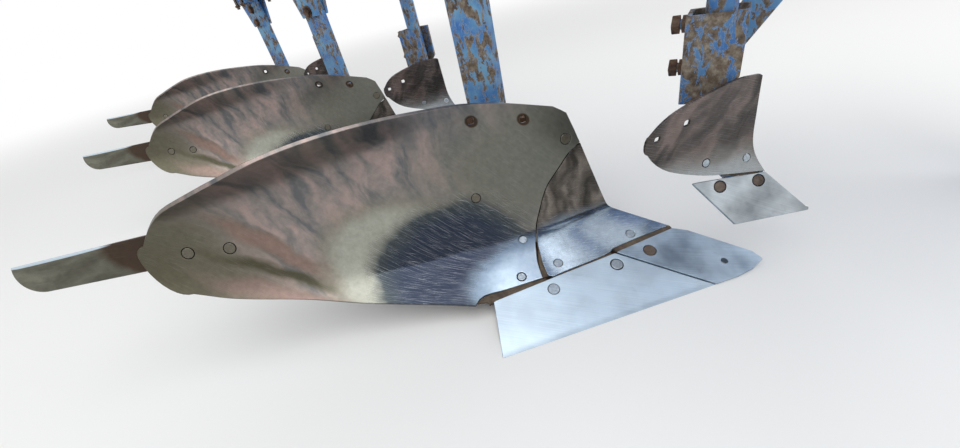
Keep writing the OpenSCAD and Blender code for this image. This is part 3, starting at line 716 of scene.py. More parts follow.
def make_materials():
    """All finishes of the plough. Zones and spots are in metres on the sheet."""
    # Painted reflections on the moldboard's polished face, as colour: grey at the top front, a
    # cream band, a dark navy patch low in the middle, pale sky blue by the share, olive on the
    # wing with reddish streaks and a dark olive band across it
    painted_front_top_reflection = (
        (0.10, 0.36), (0.26, 0.15), 0.0,
        ((0.0, "#676961"), (0.6, "#6e6c64")), ((0.3, 1.0), (0.62, 0.0)), 0.1)
    painted_cream_reflection = (
        (0.515, 0.215), (0.205, 0.155), -0.45,
        ((0.0, "#9c9e92"), (0.36, "#98998f"), (0.46, "#7e7a6e")), ((0.40, 1.0), (0.54, 0.0)), 0.1)
    painted_dark_reflection = (
        (0.44, 0.155), (0.215, 0.13), -0.45,
        ((0.0, "#222838"), (0.40, "#28303f"), (0.52, "#3a4144"), (0.62, "#686860")),
        ((0.52, 1.0), (0.66, 0.0)), 0.42)
    painted_sky_reflection = (
        (0.28, 0.03), (0.22, 0.13), -0.3,
        ((0.0, "#d2e1ed"), (0.34, "#bdcedc"), (0.48, "#78899a"), (0.62, "#383f4a")),
        ((0.5, 1.0), (0.64, 0.0)), 0.15)
    painted_wing_reflection = (
        (0.98, 0.36), (0.26, 0.32), 0.0,
        ((0.0, "#535041"), (0.3, "#605c4f"), (0.44, "#756e65")), ((0.36, 1.0), (0.56, 0.0)), 0.08)
    painted_upper_wing_reflection, painted_low_wing_reflection, painted_olive_reflection_band = (
        (middle, size, turn, ((0.0, inner), (0.5, outer)), ((full, 0.9), (0.56, 0.0)), 0.08)
        for middle, size, turn, inner, outer, full in (
            ((0.714, 0.348), (0.13, 0.028), 1.07, "#856d64", "#73655b", 0.3),
            ((0.75, 0.232), (0.19, 0.034), 0.66, "#86706a", "#74675d", 0.3),
            ((0.73, 0.285), (0.17, 0.018), 0.70, "#403e2c", "#4c4938", 0.2)))
    scoured_steel(
        "polished_moldboard_steel", ("#636466", "#847d79", "#9c8b86"), 0.08, 1.05, 0.34,
        [painted_wing_reflection, painted_upper_wing_reflection, painted_low_wing_reflection, painted_olive_reflection_band, painted_front_top_reflection, painted_cream_reflection, painted_dark_reflection, painted_sky_reflection],
        # Dark brown rings round the two empty holes
        (((0.2045, 0.480), (0.0135, 0.0135), 0.0, "#3c3027"),
         ((0.0997, 0.4505), (0.0135, 0.0135), 0.0, "#41342a")))
    # Painted reflection of the sky: pale blue low on the shin, darker towards its rim
    painted_shin_sky_reflection = (
        (0.12, 0.04), (0.26, 0.15), 0.0,
        ((0.0, "#b0c0cd"), (0.25, "#a3b1bf"), (0.42, "#94a3b1"), (0.5, "#717e8a"),
         (0.6, "#43464a")), ((0.5, 1.0), (0.62, 0.0)), 0.3)
    scoured_steel(
        "polished_shin_steel", ("#35332f", "#504b46", "#736c65"), 0.1, 0.4, 0.22, [painted_shin_sky_reflection],
        flow_turn=0.4)
    # Painted reflection: a pale band along the skimmer board's low edge
    painted_skimmer_rim_reflection = (
        (0.10, 0.02), (0.20, 0.06), 0.0,
        ((0.0, "#a4adb2"), (0.5, "#84827e")), ((0.3, 1.0), (0.6, 0.0)), 0.1)
    scoured_steel(
        "polished_skimmer_steel", ("#302c2a", "#4b4542", "#776963"), 0.1, 0.4, 0.26, [painted_skimmer_rim_reflection],
        metal=0.5, flow_turn=0.65)
    # Rust and painted shade: dark brown at the strip's root, next to the board
    strip_root_rust_and_painted_shade = (
        (0.10, 0.02), (0.115, 0.075), 0.0,
        ((0.0, "#33271e"), (1.0, "#43311f")), ((0.40, 1.0), (0.48, 0.0)), 0.03)
    # Painted highlight: a thin bright line along the strip's top edge
    painted_strip_edge_highlight = ((0.28, 0.031), (0.10, 0.0032), -0.0267, "#b9c8d2")
    scoured_steel(
        "dull_strip_steel", ("#4b493f", "#5a594e", "#6c6b5f"), 0.05, 0.1, 0.42, [strip_root_rust_and_painted_shade],
        [painted_strip_edge_highlight], metal=0.6, flow_turn=1.4)
    ground_steel("ground_share_steel", "#c3d3df", "#b3c1cd", 0.5, 0.1)
    ground_steel("ground_skimmer_steel", "#bec6cb", "#848b90", 0.5, 0.2)
    ground_steel("ground_point_steel", "#a9b8c6", "#7f8d9b", 0.42, 0.3)
    dull_steel("rolled_steel_back", "#6a625a", "#483f37", "#553b2a", 0.15)
    dull_steel("worn_landside_steel", "#97948f", "#605b54", "#5a3f2c", 0.12)
    dull_steel("greasy_screw_steel", "#77736c", "#3f3c38", "#4a3a2c", -0.05)
    dull_steel("bolt_head_steel", "#b3bdc5", "#929ba3", "#6a4c36", -0.08)
    dull_steel("polished_bolt_steel", "#6c685e", "#5c584f", "#5a4638", -0.1)
    rust("rusted_casting", "#5c4231", "#33261e", "#7d6a56")
    rust("browned_bolt_steel", "#574a41", "#3a312b", "#70645a")
    rust("soil_in_joint", "#54483c", "#3a3028", "#6a5c4c")
    enamel("worn_blue_enamel", "#2f6db4", "#6fa3c4", 0.145)
    enamel("muddy_blue_enamel", "#2c66a8", "#5484b2", 0.185)
    enamel("blue_enamel", "#2468b0", "#3a7abf", 0.02)


# ---------------------------------------------------------------- repeated fasteners
def new_tree(name, **numbers):
    """A Geometry Nodes tree with its sockets, and its input node; numbers are the defaults."""
    tree = bpy.data.node_groups.new(name, "GeometryNodeTree")
    face = tree.interface
    face.new_socket("Geometry", in_out="INPUT", socket_type="NodeSocketGeometry")
    for key, value in numbers.items():
        number = face.new_socket(key, in_out="INPUT", socket_type="NodeSocketFloat")
        number.default_value = value
    face.new_socket("Finish", in_out="INPUT", socket_type="NodeSocketMaterial")
    face.new_socket("Geometry", in_out="OUTPUT", socket_type="NodeSocketGeometry")
    return tree, add(tree, "NodeGroupInput")


def end_tree(tree, start, made):
    """Ends a tree with real geometry that has its finish."""
    real = add(tree, "GeometryNodeRealizeInstances", {0: made})
    done = add(tree, "GeometryNodeSetMaterial", {0: real, "Material": start.outputs["Finish"]})
    add(tree, "NodeGroupOutput", {0: done})
    return tree


def fastener_tree(name, parts):
    """Geometry Nodes: a fastener on each point, its head along the point's axis.
    Each part is (corners, radius, radius at the top, height, how far out it starts), by the
    fastener's size."""
    tree, start = new_tree(name, Scale=1.0)
    joined = add(tree, "GeometryNodeJoinGeometry")
    for corners, radius, top, height, out in parts:
        solid = add(tree, "GeometryNodeMeshCone", {
            "Vertices": corners, "Radius Top": top, "Radius Bottom": radius, "Depth": height})
        feed(joined, {0: add(tree, "GeometryNodeTransform", {
            "Geometry": solid, "Translation": (0, 0, out)})})
    axis, size = (
        add(tree, "GeometryNodeInputNamedAttribute", {"Name": key}, data_type=kind)
        for key, kind in (("axis", "FLOAT_VECTOR"), ("size", "FLOAT")))
    turn = add(tree, "FunctionNodeAlignRotationToVector", {"Vector": axis}, axis="Z")
    each = add(tree, MATH, {0: size, 1: start.outputs["Scale"]}, operation="MULTIPLY")
    return end_tree(tree, start, add(tree, "GeometryNodeInstanceOnPoints", {
        "Points": start, "Instance": joined, "Rotation": turn, "Scale": each}))


def weld_tree():
    """Geometry Nodes: a weld bead of overlapping ripples along each line."""
    tree, start = new_tree("weld_bead", Step=0.004, Width=0.004)
    line = add(tree, "GeometryNodeMeshToCurve", {0: start})
    dots = add(
        tree, "GeometryNodeCurveToPoints", {0: line, "Length": start.outputs["Step"]},
        mode="LENGTH")
    blob = add(tree, "GeometryNodeMeshUVSphere", {"Segments": 8, "Rings": 4, "Radius": 1.0})
    vary = add(tree, "FunctionNodeRandomValue", {2: 0.8, 3: 1.15, "Seed": 5}, data_type="FLOAT")
    size = add(tree, MATH, {0: vary, 1: start.outputs["Width"]}, operation="MULTIPLY")
    return end_tree(tree, start, add(tree, "GeometryNodeInstanceOnPoints", {
        "Points": dots, "Instance": blob, "Rotation": dots.outputs["Rotation"], "Scale": size}))


def rod_tree():
    """Geometry Nodes: a round bar along each line."""
    tree, start = new_tree("round_bar", Radius=0.008)
    line = add(tree, "GeometryNodeMeshToCurve", {0: start})
    section = add(tree, "GeometryNodeCurvePrimitiveCircle", {
        "Resolution": 16, "Radius": start.outputs["Radius"]})
    return end_tree(tree, start, add(tree, "GeometryNodeCurveToMesh", {
        "Curve": line, "Profile Curve": section, "Fill Caps": True}))


def grown(name, draft_mesh, tree, numbers, finish):
    """Runs a tree on a mesh and returns the plain mesh that it makes."""
    draft = placed(name + "_draft", draft_mesh)
    modifier = draft.modifiers.new("grow", "NODES")
    modifier.node_group = tree
    sockets = {s.name: s.identifier for s in tree.interface.items_tree if s.in_out == "INPUT"}
    for key, value in {**numbers, "Finish": bpy.data.materials[finish]}.items():
        modifier[sockets[key]] = value
    return settled(draft, name + "_mesh")


def on_lines(name, lines, tree, numbers, finish, body=FRAME_BODY, smooth=False):
    """A piece that a tree grows along lines, each a list of points in metres."""
    co, edges = [], []
    for line in lines:
        edges += [(len(co) + k, len(co) + k + 1) for k in range(len(line) - 1)]
        co += [tuple(p) for p in line]
    mesh = bpy.data.meshes.new(name + "_lines")
    mesh.from_pydata(co, edges, [])
    mesh = grown(name, mesh, tree, numbers, finish)
    if smooth:
        mesh.shade_smooth()
    dressed(mesh, name, [finish], body)


def fasteners(name, tree, rows, finish):
    """One piece of fasteners. Each row is (place, outward axis, size), in metres."""
    mesh = bpy.data.meshes.new(name)
    mesh.from_pydata([tuple(r[0]) for r in rows], [], [])
    axis = mesh.attributes.new("axis", "FLOAT_VECTOR", "POINT")
    axis.data.foreach_set("vector", np.array([tuple(r[1]) for r in rows], np.float32).ravel())
    size = mesh.attributes.new("size", "FLOAT", "POINT")
    size.data.foreach_set("value", np.array([r[2] for r in rows], np.float32))
    dressed(grown(name, mesh, tree, {"Scale": 1.0}, finish), name, [finish], FRAME_BODY)


# ---------------------------------------------------------------- settings
class PLOUGH_PG_bodies(bpy.types.PropertyGroup):
    cell: bpy.props.FloatProperty(
        name="Mesh cell", description="Spacing of the points on the curved plates",
        default=0.011, unit="LENGTH")
    edge: bpy.props.FloatProperty(
        name="Edge rounding", description="How far the edges of the plates are rounded",
        default=0.0012, unit="LENGTH")
    gap: bpy.props.FloatProperty(
        name="Bolt ring", description="Width of the dark ring round a flush bolt",
        default=0.0009, unit="LENGTH")


class PLOUGH_PG_frame(bpy.types.PropertyGroup):
    bevel: bpy.props.FloatProperty(
        name="Bevel", description="Width of the rounded edges on rolled bars and plates",
        default=0.003, unit="LENGTH")
    weld: bpy.props.FloatProperty(
        name="Weld width", description="Half width of a weld bead",
        default=0.0045, unit="LENGTH")


class PLOUGH_PG_stage(bpy.types.PropertyGroup):
    floor: bpy.props.FloatVectorProperty(
        name="Floor colour", description="Pale colour of the studio floor",
        default=(0.82, 0.815, 0.80), subtype="COLOR", size=3)
    key: bpy.props.FloatProperty(
        name="Key light", description="Power of the large light overhead",
        default=110.0, unit="POWER")


# ---------------------------------------------------------------- plates
def wing_end(at, reach, low, high, count):
    """Points round the end of a wing, upwards."""
    middle, half = (low + high) / 2, (high - low) / 2
    turns = np.linspace(-math.pi / 2, math.pi / 2, count)
    return [(at + reach * math.cos(a), middle + half * math.sin(a)) for a in turns]


def board_outline():
    """Outline of the moldboard: distance back and height, with its rounded corner and wing."""
    low = sampled(SEAM_LINE, 0, FOOT_AT, 26, FACE_JOINT)
    low += sampled(FOOT_LINE, FOOT_AT + 10, HEEL_AT - 8, 10)
    low += sampled(HEEL_LINE, HEEL_AT, WING_AT, 22)
    wing = wing_end(WING_AT, WING_REACH, WING_LOW, WING_HIGH, 15)[1:-1]
    return low + wing + sampled(TOP_LINE, WING_AT, 26, 40) + [(12, 331), (3, 322)]


def shin_outline():
    """Outline of the shin: distance back and height. Its joint opens towards its tail."""
    def high(s):
        opened = max(0.0, (s - SHIN_OPENS) / (SHIN_END - SHIN_OPENS))
        return along(SEAM_LINE, s) - SEAM_WEDGE * opened

    low = sampled(SHIN_LOW, 0, SHIN_END - 4, 20)
    return low + [(s, high(s)) for s in np.linspace(SHIN_END, 0, 30)]


def strip_outline():
    """Outline of the tail strip from its root, with the curve of its free end."""
    inner, end_r, curve = 100.0, 0.36 * STRIP_W, 46.0
    tail = STRIP_L - inner - 0.5
    return [(-inner, STRIP_W / 2), (-inner, -STRIP_W / 2)] + [
        (tail - curve + curve * math.cos(a), curve - end_r + curve * math.sin(a))
        for a in np.linspace(-math.pi / 2, math.asin((2 * end_r - curve) / curve), 16)]


def skimmer_outline():
    """Outline of the skimmer board: distance back and height."""
    low, top = sampled(SKIM_LOW, 0, 210, 22, 1), sampled(SKIM_TOP, 210, 8, 20)
    return low + wing_end(*SKIM_WING, 7) + top + [(2, 380)]


def flat_plate(place):
    """A flat plate's placing function, with outlines that are in its own coordinates."""
    return place, lambda a, b: (a, b)


class PLOUGH_OT_moldboards(bpy.types.Operator):
    """Makes the polished moldboards and shins of the three bodies"""

    bl_idname = "plough.moldboards"
    bl_label = "Moldboards and shins"

    def execute(self, context):
        p = context.scene.plough_bodies
        cell, face = p.cell / MM, on_face(body_face, *BODY_UPRIGHT)
        plate(p, "moldboard_face", "moldboard", "polished_moldboard_steel", face,
              board_outline(), BOARD_BOLTS, BOARD_HOLES, BOARD_T, cell)
        plate(p, "shin_face", "shin", "polished_shin_steel", face,
              shin_outline(), SHIN_BOLTS, [], SHIN_T, cell * 0.7)
        return {"FINISHED"}


class PLOUGH_OT_shares(bpy.types.Operator):
    """Makes the ground shares, chisel points and tail strips"""

    bl_idname = "plough.shares"
    bl_label = "Shares, points and tail strips"

    def execute(self, context):
        p = context.scene.plough_bodies
        plate(p, "share_blade", "share", "ground_share_steel", flat_plate(share_face),
              rounded(SHARE_OUTLINE, (0, 2, 3, 30, 2)), SHARE_BOLTS, [], SHARE_T, cell=16)
        plate(p, "chisel_point", "point", "ground_point_steel", flat_plate(point_face),
              rounded(POINT_OUTLINE, (5, 14, 14, 2, 2, 3, 10, 10)), POINT_BOLTS + TIP_HOLE, [],
              POINT_T, cell=12)
        plate(p, "tail_plate", "tail_strip", "dull_strip_steel", flat_plate(on_strip()),
              strip_outline(), [], [], STRIP_T, cell=20, soft=2)
        return {"FINISHED"}


class PLOUGH_OT_skimmers(bpy.types.Operator):
    """Makes the boards and shares of the skimmers"""

    bl_idname = "plough.skimmers"
    bl_label = "Skimmers"

    def execute(self, context):
        p = context.scene.plough_bodies
        plate(p, "skimmer_face", "skimmer_board", "polished_skimmer_steel",
              on_face(skimmer_face, *SKIM_UPRIGHT), skimmer_outline(), SKIM_BOLTS, SKIM_HOLES,
              SKIM_T, cell=8)
        plate(p, "skimmer_blade", "skimmer_share", "ground_skimmer_steel",
              flat_plate(skimmer_share_face), rounded(SKIM_OUTLINE, (3, 3, 3, 3)),
              SKIM_SHARE_BOLTS, [], SKIM_SHARE_T, cell=9)
        return {"FINISHED"}


# ---------------------------------------------------------------- bolts and soil
# Each part: corners, radius, radius at the top, height, how far out it starts, by the size
FLUSH_HEAD = [(36, 0.97, 0.97, 0.5, -0.5), (36, 0.97, 0.88, 0.05, 0.0)]
HEXAGON_BOLT = [
    (28, 1.25, 1.25, 0.16, 0.0), (6, 1.0, 1.0, 0.62, 0.16), (24, 0.86, 0.72, 0.06, 0.78)]
HEXAGON_NUT = [(6, 1.0, 1.0, 0.75, 0.0), (24, 0.86, 0.8, 0.05, 0.75), (20, 0.5, 0.46, 0.5, 0.75)]
SQUARE_BOLT = [(6, 0.95, 0.95, 0.5, 0.0), (4, 1.0, 1.0, 0.85, 0.72), (4, 0.98, 0.84, 0.05, 1.57)]
# Heights of the bolts through a leg, and of those that press on a skimmer's stem from behind
LEG_BOLTS, SET_BOLTS, SET_BOLT_X = (605, 670), (401, 471), -182
LEG_BOLT_SIZE, SET_BOLT_SIZE = 0.0165, 0.0145
LEG_BOLT_HEAD, LEG_BOLT_NUT = LEG_SIDE - 12, LEG_SIDE + 44
# Flush bolts: piece, finish, and groups of (spots, face, how far the heads are sunk in mm)
FLUSH_BOLTS = (
    ("board_bolts", "polished_bolt_steel", [(BOARD_BOLTS[2:], body_face, 0.3)]),
    ("share_bolts", "bolt_head_steel", [
        (BOARD_BOLTS[:2] + SHIN_BOLTS, body_face, 0.2), (SHARE_BOLTS, share_face, 0.0),
        (SKIM_BOLTS, skimmer_face, 0.3)]),
    ("rusty_plough_bolts", "browned_bolt_steel", [
        (POINT_BOLTS, point_face, 0.8), (SKIM_SHARE_BOLTS, skimmer_share_face, 1.2)]),
)


def flush_rows(i, spots, face, sunk):
    """Flush bolt heads of body i: place, outward axis and size."""
    rows = []
    for a, b, r, _ in spots:
        n = back_normal(face, a, b)
        rows.append((in_row(i, face(a, b) + n * sunk), -n, r * MM))
    return rows


class PLOUGH_OT_bolts(bpy.types.Operator):
    """Makes the flush plough bolts, the bolts and nuts of the legs and the set bolts"""

    bl_idname = "plough.bolts"
    bl_label = "Bolts and nuts"

    def execute(self, context):
        head, hexagon, nut, square = (fastener_tree(*kind) for kind in (
            ("plough_bolt", FLUSH_HEAD), ("hexagon_bolt", HEXAGON_BOLT),
            ("hexagon_nut", HEXAGON_NUT), ("square_bolt", SQUARE_BOLT)))
        for name, finish, groups in FLUSH_BOLTS:
            rows = [row for i in BODIES for group in groups for row in flush_rows(i, *group)]
            fasteners(name, head, rows, finish)
        hexes, nuts, squares = [], [], []
        for i in BODIES:
            for z in LEG_BOLTS:
                for rows, y, side in ((hexes, LEG_BOLT_HEAD, -1), (nuts, LEG_BOLT_NUT, 1)):
                    rows.append((in_row(i, (-LEG_BACK, y, z)), (0, side, 0), LEG_BOLT_SIZE))
            for z in SET_BOLTS:
                squares.append((in_row(i, (SET_BOLT_X, 0, z)), (-1, 0, 0), SET_BOLT_SIZE))
        for name, tree, rows in (
                ("set_bolts", square, squares), ("hexagon_bolts", hexagon, hexes),
                ("hexagon_nuts", nut, nuts)):
            fasteners(name, tree, rows, "rusted_casting")
        return {"FINISHED"}


# Along the share's edge, up its slope: the joint with the moldboard, and its open end
SHARE_WEDGE = np.array([
    (470, 128.7), (500, 129), (530, 129), (560, 128.5), (585, 127), (604, 126)], float)
SHARE_TAIL = np.array([(598, 128.84), (634, 131.72)], float)
# Section of the soil in a joint, across and behind the face, by its width
SOIL_SECTION = ((-1, 0.0), (-0.5, -0.08), (0.5, -0.08), (1, 0.0), (1, 0.5), (-1, 0.5))
# Soil: line, offset, from, to, points; face, width at both ends, depth
JOINTS = (
    (SHIN_LOW, -1.9, 4, 162, 26, body_face, (12.0, 14.0), 2.2),
    (SHIN_LOW, -1.0, 176, 330, 22, body_face, (5.0, 5.0), 2.8),
    (SHARE_WEDGE, 0.0, 470, 604, 22, share_face, (6.0, 21.0), 0.6),
    (SHARE_TAIL, 0.0, 598, 634, 8, share_face, (15.0, 7.0), 2.0),
    (SEAM_LINE, -0.9, 236, 340, 18, body_face, (2.5, 13.0), 1.6),
    (SKIM_LOW, -1.0, 8, 76, 12, skimmer_face, (5.0, 4.0), 5.0),
)


def add_fillet(shell, i, path, face, width, sink):
    """Adds a strip of dried soil that fills a joint of body i, along a path on a face."""
    rows = []
    for k, (a, b) in enumerate(path):
        n = back_normal(face, a, b)
        ahead, behind = path[min(k + 1, len(path) - 1)], path[max(k - 1, 0)]
        t = (face(*ahead) - face(*behind)).normalized()
        side = n.cross(t).normalized()
        w = width[0] + (width[1] - width[0]) * k / (len(path) - 1)
        w *= 1 + 0.22 * math.sin(k * 2.1) * math.sin(k * 0.7 + 1)
        c = face(a, b) + n * sink
        rows.append([
            shell.point(in_row(i, c + side * (x * w / 2) + n * (d * w))) for x, d in SOIL_SECTION])
    corners = len(SOIL_SECTION)
    quads = [
        [r[j], r[(j + 1) % corners], q[(j + 1) % corners], q[j]]
        for r, q in zip(rows, rows[1:]) for j in range(corners)]
    for ends in quads + [rows[0][::-1], rows[-1]]:
        shell.face(ends, [], [])


class PLOUGH_OT_soil(bpy.types.Operator):
    """Makes the dried soil in the joints of the working faces"""

    bl_idname = "plough.soil"
    bl_label = "Soil in the joints"

    def execute(self, context):
        shell = Shell()
        for i in BODIES:
            for table, offset, start, end, count, face, width, sink in JOINTS:
                add_fillet(shell, i, sampled(table, start, end, count, offset), face, width, sink)
        mesh = bpy.data.meshes.new("joint_soil_mesh")
        mesh.from_pydata(shell.co, [], shell.faces)
        with edited(mesh) as bm:
            bmesh.ops.recalc_face_normals(bm, faces=bm.faces)
        dressed(mesh, "joint_soil", ["soil_in_joint"], FRAME_BODY)
        return {"FINISHED"}


# ---------------------------------------------------------------- frame
# Rolled and welded parts: node, finish and bevel by the set width. A name that ends with _ is
# one node on each plough body.
ROLLED = (
    ("main_beam", "blue_enamel", 1.0), ("cross_beam", "blue_enamel", 1.0),
    ("frame_brace", "blue_enamel", 0.8), ("hanger_plate", "worn_blue_enamel", 0.8),
    ("tower", "blue_enamel", 0.8), ("tower_brace", "blue_enamel", 0.6),
    ("shaft_bearings", "blue_enamel", 0.8), ("stand_socket", "blue_enamel", 0.6),
    ("screw_tube", "blue_enamel", 0.4), ("cross_shaft", "blue_enamel", 0.7),
    ("screw_rod", "greasy_screw_steel", 0.4), ("stand_leg", "blue_enamel", 0.5),
    ("leg_", "worn_blue_enamel", 1.8), ("leg_bracket_", "worn_blue_enamel", 0.8),
    ("skimmer_bracket_", "worn_blue_enamel", 0.7), ("skimmer_clamp_", "muddy_blue_enamel", 0.7),
    ("skimmer_stem_", "worn_blue_enamel", 0.5), ("landside_", "worn_landside_steel", 0.6),
    ("frog_", "rusted_casting", 0.5), ("stay_", "rusted_casting", 0.4),
)
MOVING = {
    "cross_shaft": "cross_shaft", "screw_rod": "adjusting_screw", "stand_leg": "parking_stand"}


class PLOUGH_OT_frame(bpy.types.Operator):
    """Rounds the edges of the rolled and welded parts and paints them"""

    bl_idname = "plough.frame"
    bl_label = "Legs, beams and hitch"

    def execute(self, context):
        width = context.scene.plough_frame.bevel
        for name, finish, share in ROLLED:
            for node in [f"{name}{i}" for i in BODIES] if name.endswith("_") else [name]:
                body = MOVING.get(node, FRAME_BODY)
                dressed(softened(node, width * share), node + "_steel", [finish], body, node)
        return {"FINISHED"}


def beam_line():
    """A point on the main beam's axis, the beam's direction forwards and its left, in the
    row frame."""
    ahead = (body_origin(1) - body_origin(2)).normalized()
    return in_row(1, (-LEG_BACK, LEG_SIDE + 16, 0)), ahead, Vector((-ahead.y, ahead.x, 0))


def border(p, q, low, top):
    """A closed line round an upright face between two places."""
    return [Vector((*e, z)) for e, z in ((p, low), (p, top), (q, top), (q, low), (p, low))]


# Welds, in metres. The hitch's bearing plates: from its middle, half their thickness
BEARING_SIDE, BEARING_HALF = 0.1575, 0.0075
# Cut end of the frame brace, height of the bead on the slanted plate, foot of a skimmer bracket
BRACE_CUT, PLATE_BEAD, BRACKET_FOOT = 0.0827, 0.08, 0.086
# Pad under the tower's brace: half its length and width; its place in mm from the first tip
PAD_HALF, PAD_BACK = (0.09, 0.05), -1000
# Leg bracket: half the length of its bead, how far below its top and beside the leg it lies
SADDLE_HALF, SADDLE_LOW, SADDLE_OUT = 0.072, 0.014, 0.012
# Cross shaft: its middle ahead of its rearmost point, its height in mm, bead inside its ends
SHAFT_AHEAD, SHAFT_Z, SHAFT_BEAD, SHAFT_BEAD_R = 0.042, 560, 0.0925, 0.0305


class PLOUGH_OT_welds(bpy.types.Operator):
    """Makes the weld beads where plates and tubes meet"""

    bl_idname = "plough.welds"
    bl_label = "Welds"

    def execute(self, context):
        width = context.scene.plough_frame.weld
        cross, tower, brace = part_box("cross_beam"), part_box("tower"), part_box("frame_brace")
        shaft, leg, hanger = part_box("cross_shaft"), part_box("leg_1"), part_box("hanger_plate")
        (rear, _, low), (front, _, top) = cross
        axis, ahead, left = beam_line()
        slope, half = ahead.y / ahead.x, (top - low) / 2

        def beam_side(x, offset):
            return axis.y + (x - axis.x) * slope + offset / ahead.x

        hitch = (tower[0].y + tower[1].y) / 2
        uprights = [tower[0].y, tower[1].y] + [
            hitch + side * BEARING_SIDE + edge
            for side in (-1, 1) for edge in (-BEARING_HALF, BEARING_HALF)]
        lines = [[Vector((front, y, low)), Vector((front, y, top))] for y in uprights]
        lines.append(border(*((rear, beam_side(rear, y)) for y in (half, -half)), low, top))
        side = brace[1].y
        lines.append(border((rear, side), (rear, side - BRACE_CUT), brace[0].z, brace[1].z))
        lines += [
            [Vector((rear, y, low)), Vector((rear, y, low + PLATE_BEAD))]
            for y in (hanger[0].y, hanger[1].y)]
        pad = axis + ahead * ((in_row(1, (PAD_BACK, 0, 0)).x - axis.x) / ahead.x)
        x, y = PAD_HALF
        lines.append([
            Vector((pad.x, pad.y, top)) + ahead * a + left * b
            for a, b in ((-x, -y), (x, -y), (x, y), (-x, y), (-x, -y))])
        for i in BODIES:
            arm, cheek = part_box(f"skimmer_bracket_{i}"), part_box(f"leg_bracket_{i}")
            shift = body_origin(i) - body_origin(1)
            lines.append(border(*(
                (x, beam_side(x - shift.x, half) + shift.y)
                for x in (arm[1].x - BRACKET_FOOT, arm[1].x)), arm[0].z, arm[1].z))
            middle, saddle = body_origin(i).x - LEG_BACK * MM, cheek[1].z - SADDLE_LOW
            for y in (leg[0].y + shift.y - SADDLE_OUT, leg[1].y + shift.y + SADDLE_OUT):
                lines.append([
                    Vector((middle + a, y, saddle)) for a in (-SADDLE_HALF, SADDLE_HALF)])
        bead, numbers = weld_tree(), {"Step": width * 0.8, "Width": width}
        on_lines("weld_beads", lines, bead, numbers, "blue_enamel")
        # Round the cross shaft, inside both cranks
        centre = Vector((shaft[0].x + SHAFT_AHEAD, 0, in_row(1, (0, 0, SHAFT_Z)).z))
        r = SHAFT_BEAD_R
        rings = [[
            Vector((centre.x + r * math.cos(a), y, centre.z + r * math.sin(a)))
            for a in np.linspace(0, 2 * math.pi, 33)]
            for y in (shaft[0].y + SHAFT_BEAD, shaft[1].y - SHAFT_BEAD)]
        on_lines("shaft_beads", rings, bead, numbers, "blue_enamel", "cross_shaft")
        return {"FINISHED"}


# U-bolts, in metres: radius of the rod and of its bend, distance of the pair from the leg's
# middle, clear of the beam at its sides and above it, ends and nuts below it, size of a nut
ROD_R, ROD_BEND, ROD_PAIR = 0.008, 0.02, 0.085
ROD_SIDE, ROD_ABOVE, ROD_END, NUT_BELOW, NUT_SIZE = 0.0095, 0.0085, 0.034, 0.014, 0.0135
# Tube caps, in metres: wall of the tubes, play, how deep a cap's middle lies, thickness,
# rounding, width of the stand's cap
TUBE_WALL, CAP_PLAY, CAP_SUNK = 0.008, 0.001, 0.006
CAP_T, CAP_EDGE, STAND_CAP = 0.004, 0.0012, 0.0395
# Locking pin, in metres: how far in it starts, length, radius; its ring's radius, wire's
# radius, and middle: how far out and down
PIN_IN, PIN_L, PIN_R, PIN_RING, PIN_WIRE, RING_OUT = 0.002, 0.03, 0.007, 0.017, 0.002, 0.026
RING_DOWN = -0.015


def add_cap(name, middle, out, side, size, body):
    """Makes a square plate that closes the end of a tube."""
    mesh = bpy.data.meshes.new(name)
    turn = Matrix((out, side, out.cross(side))).transposed().to_4x4()
    with edited(mesh) as bm:
        bmesh.ops.create_cube(bm, size=1.0)
        bmesh.ops.transform(bm, matrix=Matrix.Diagonal((CAP_T, size, size, 1)), verts=bm.verts)
        bmesh.ops.bevel(bm, geom=bm.edges, offset=CAP_EDGE, segments=2, affect="EDGES")
        bmesh.ops.transform(bm, matrix=Matrix.Translation(middle) @ turn, verts=bm.verts)
    dressed(mesh, name, ["blue_enamel"], body)


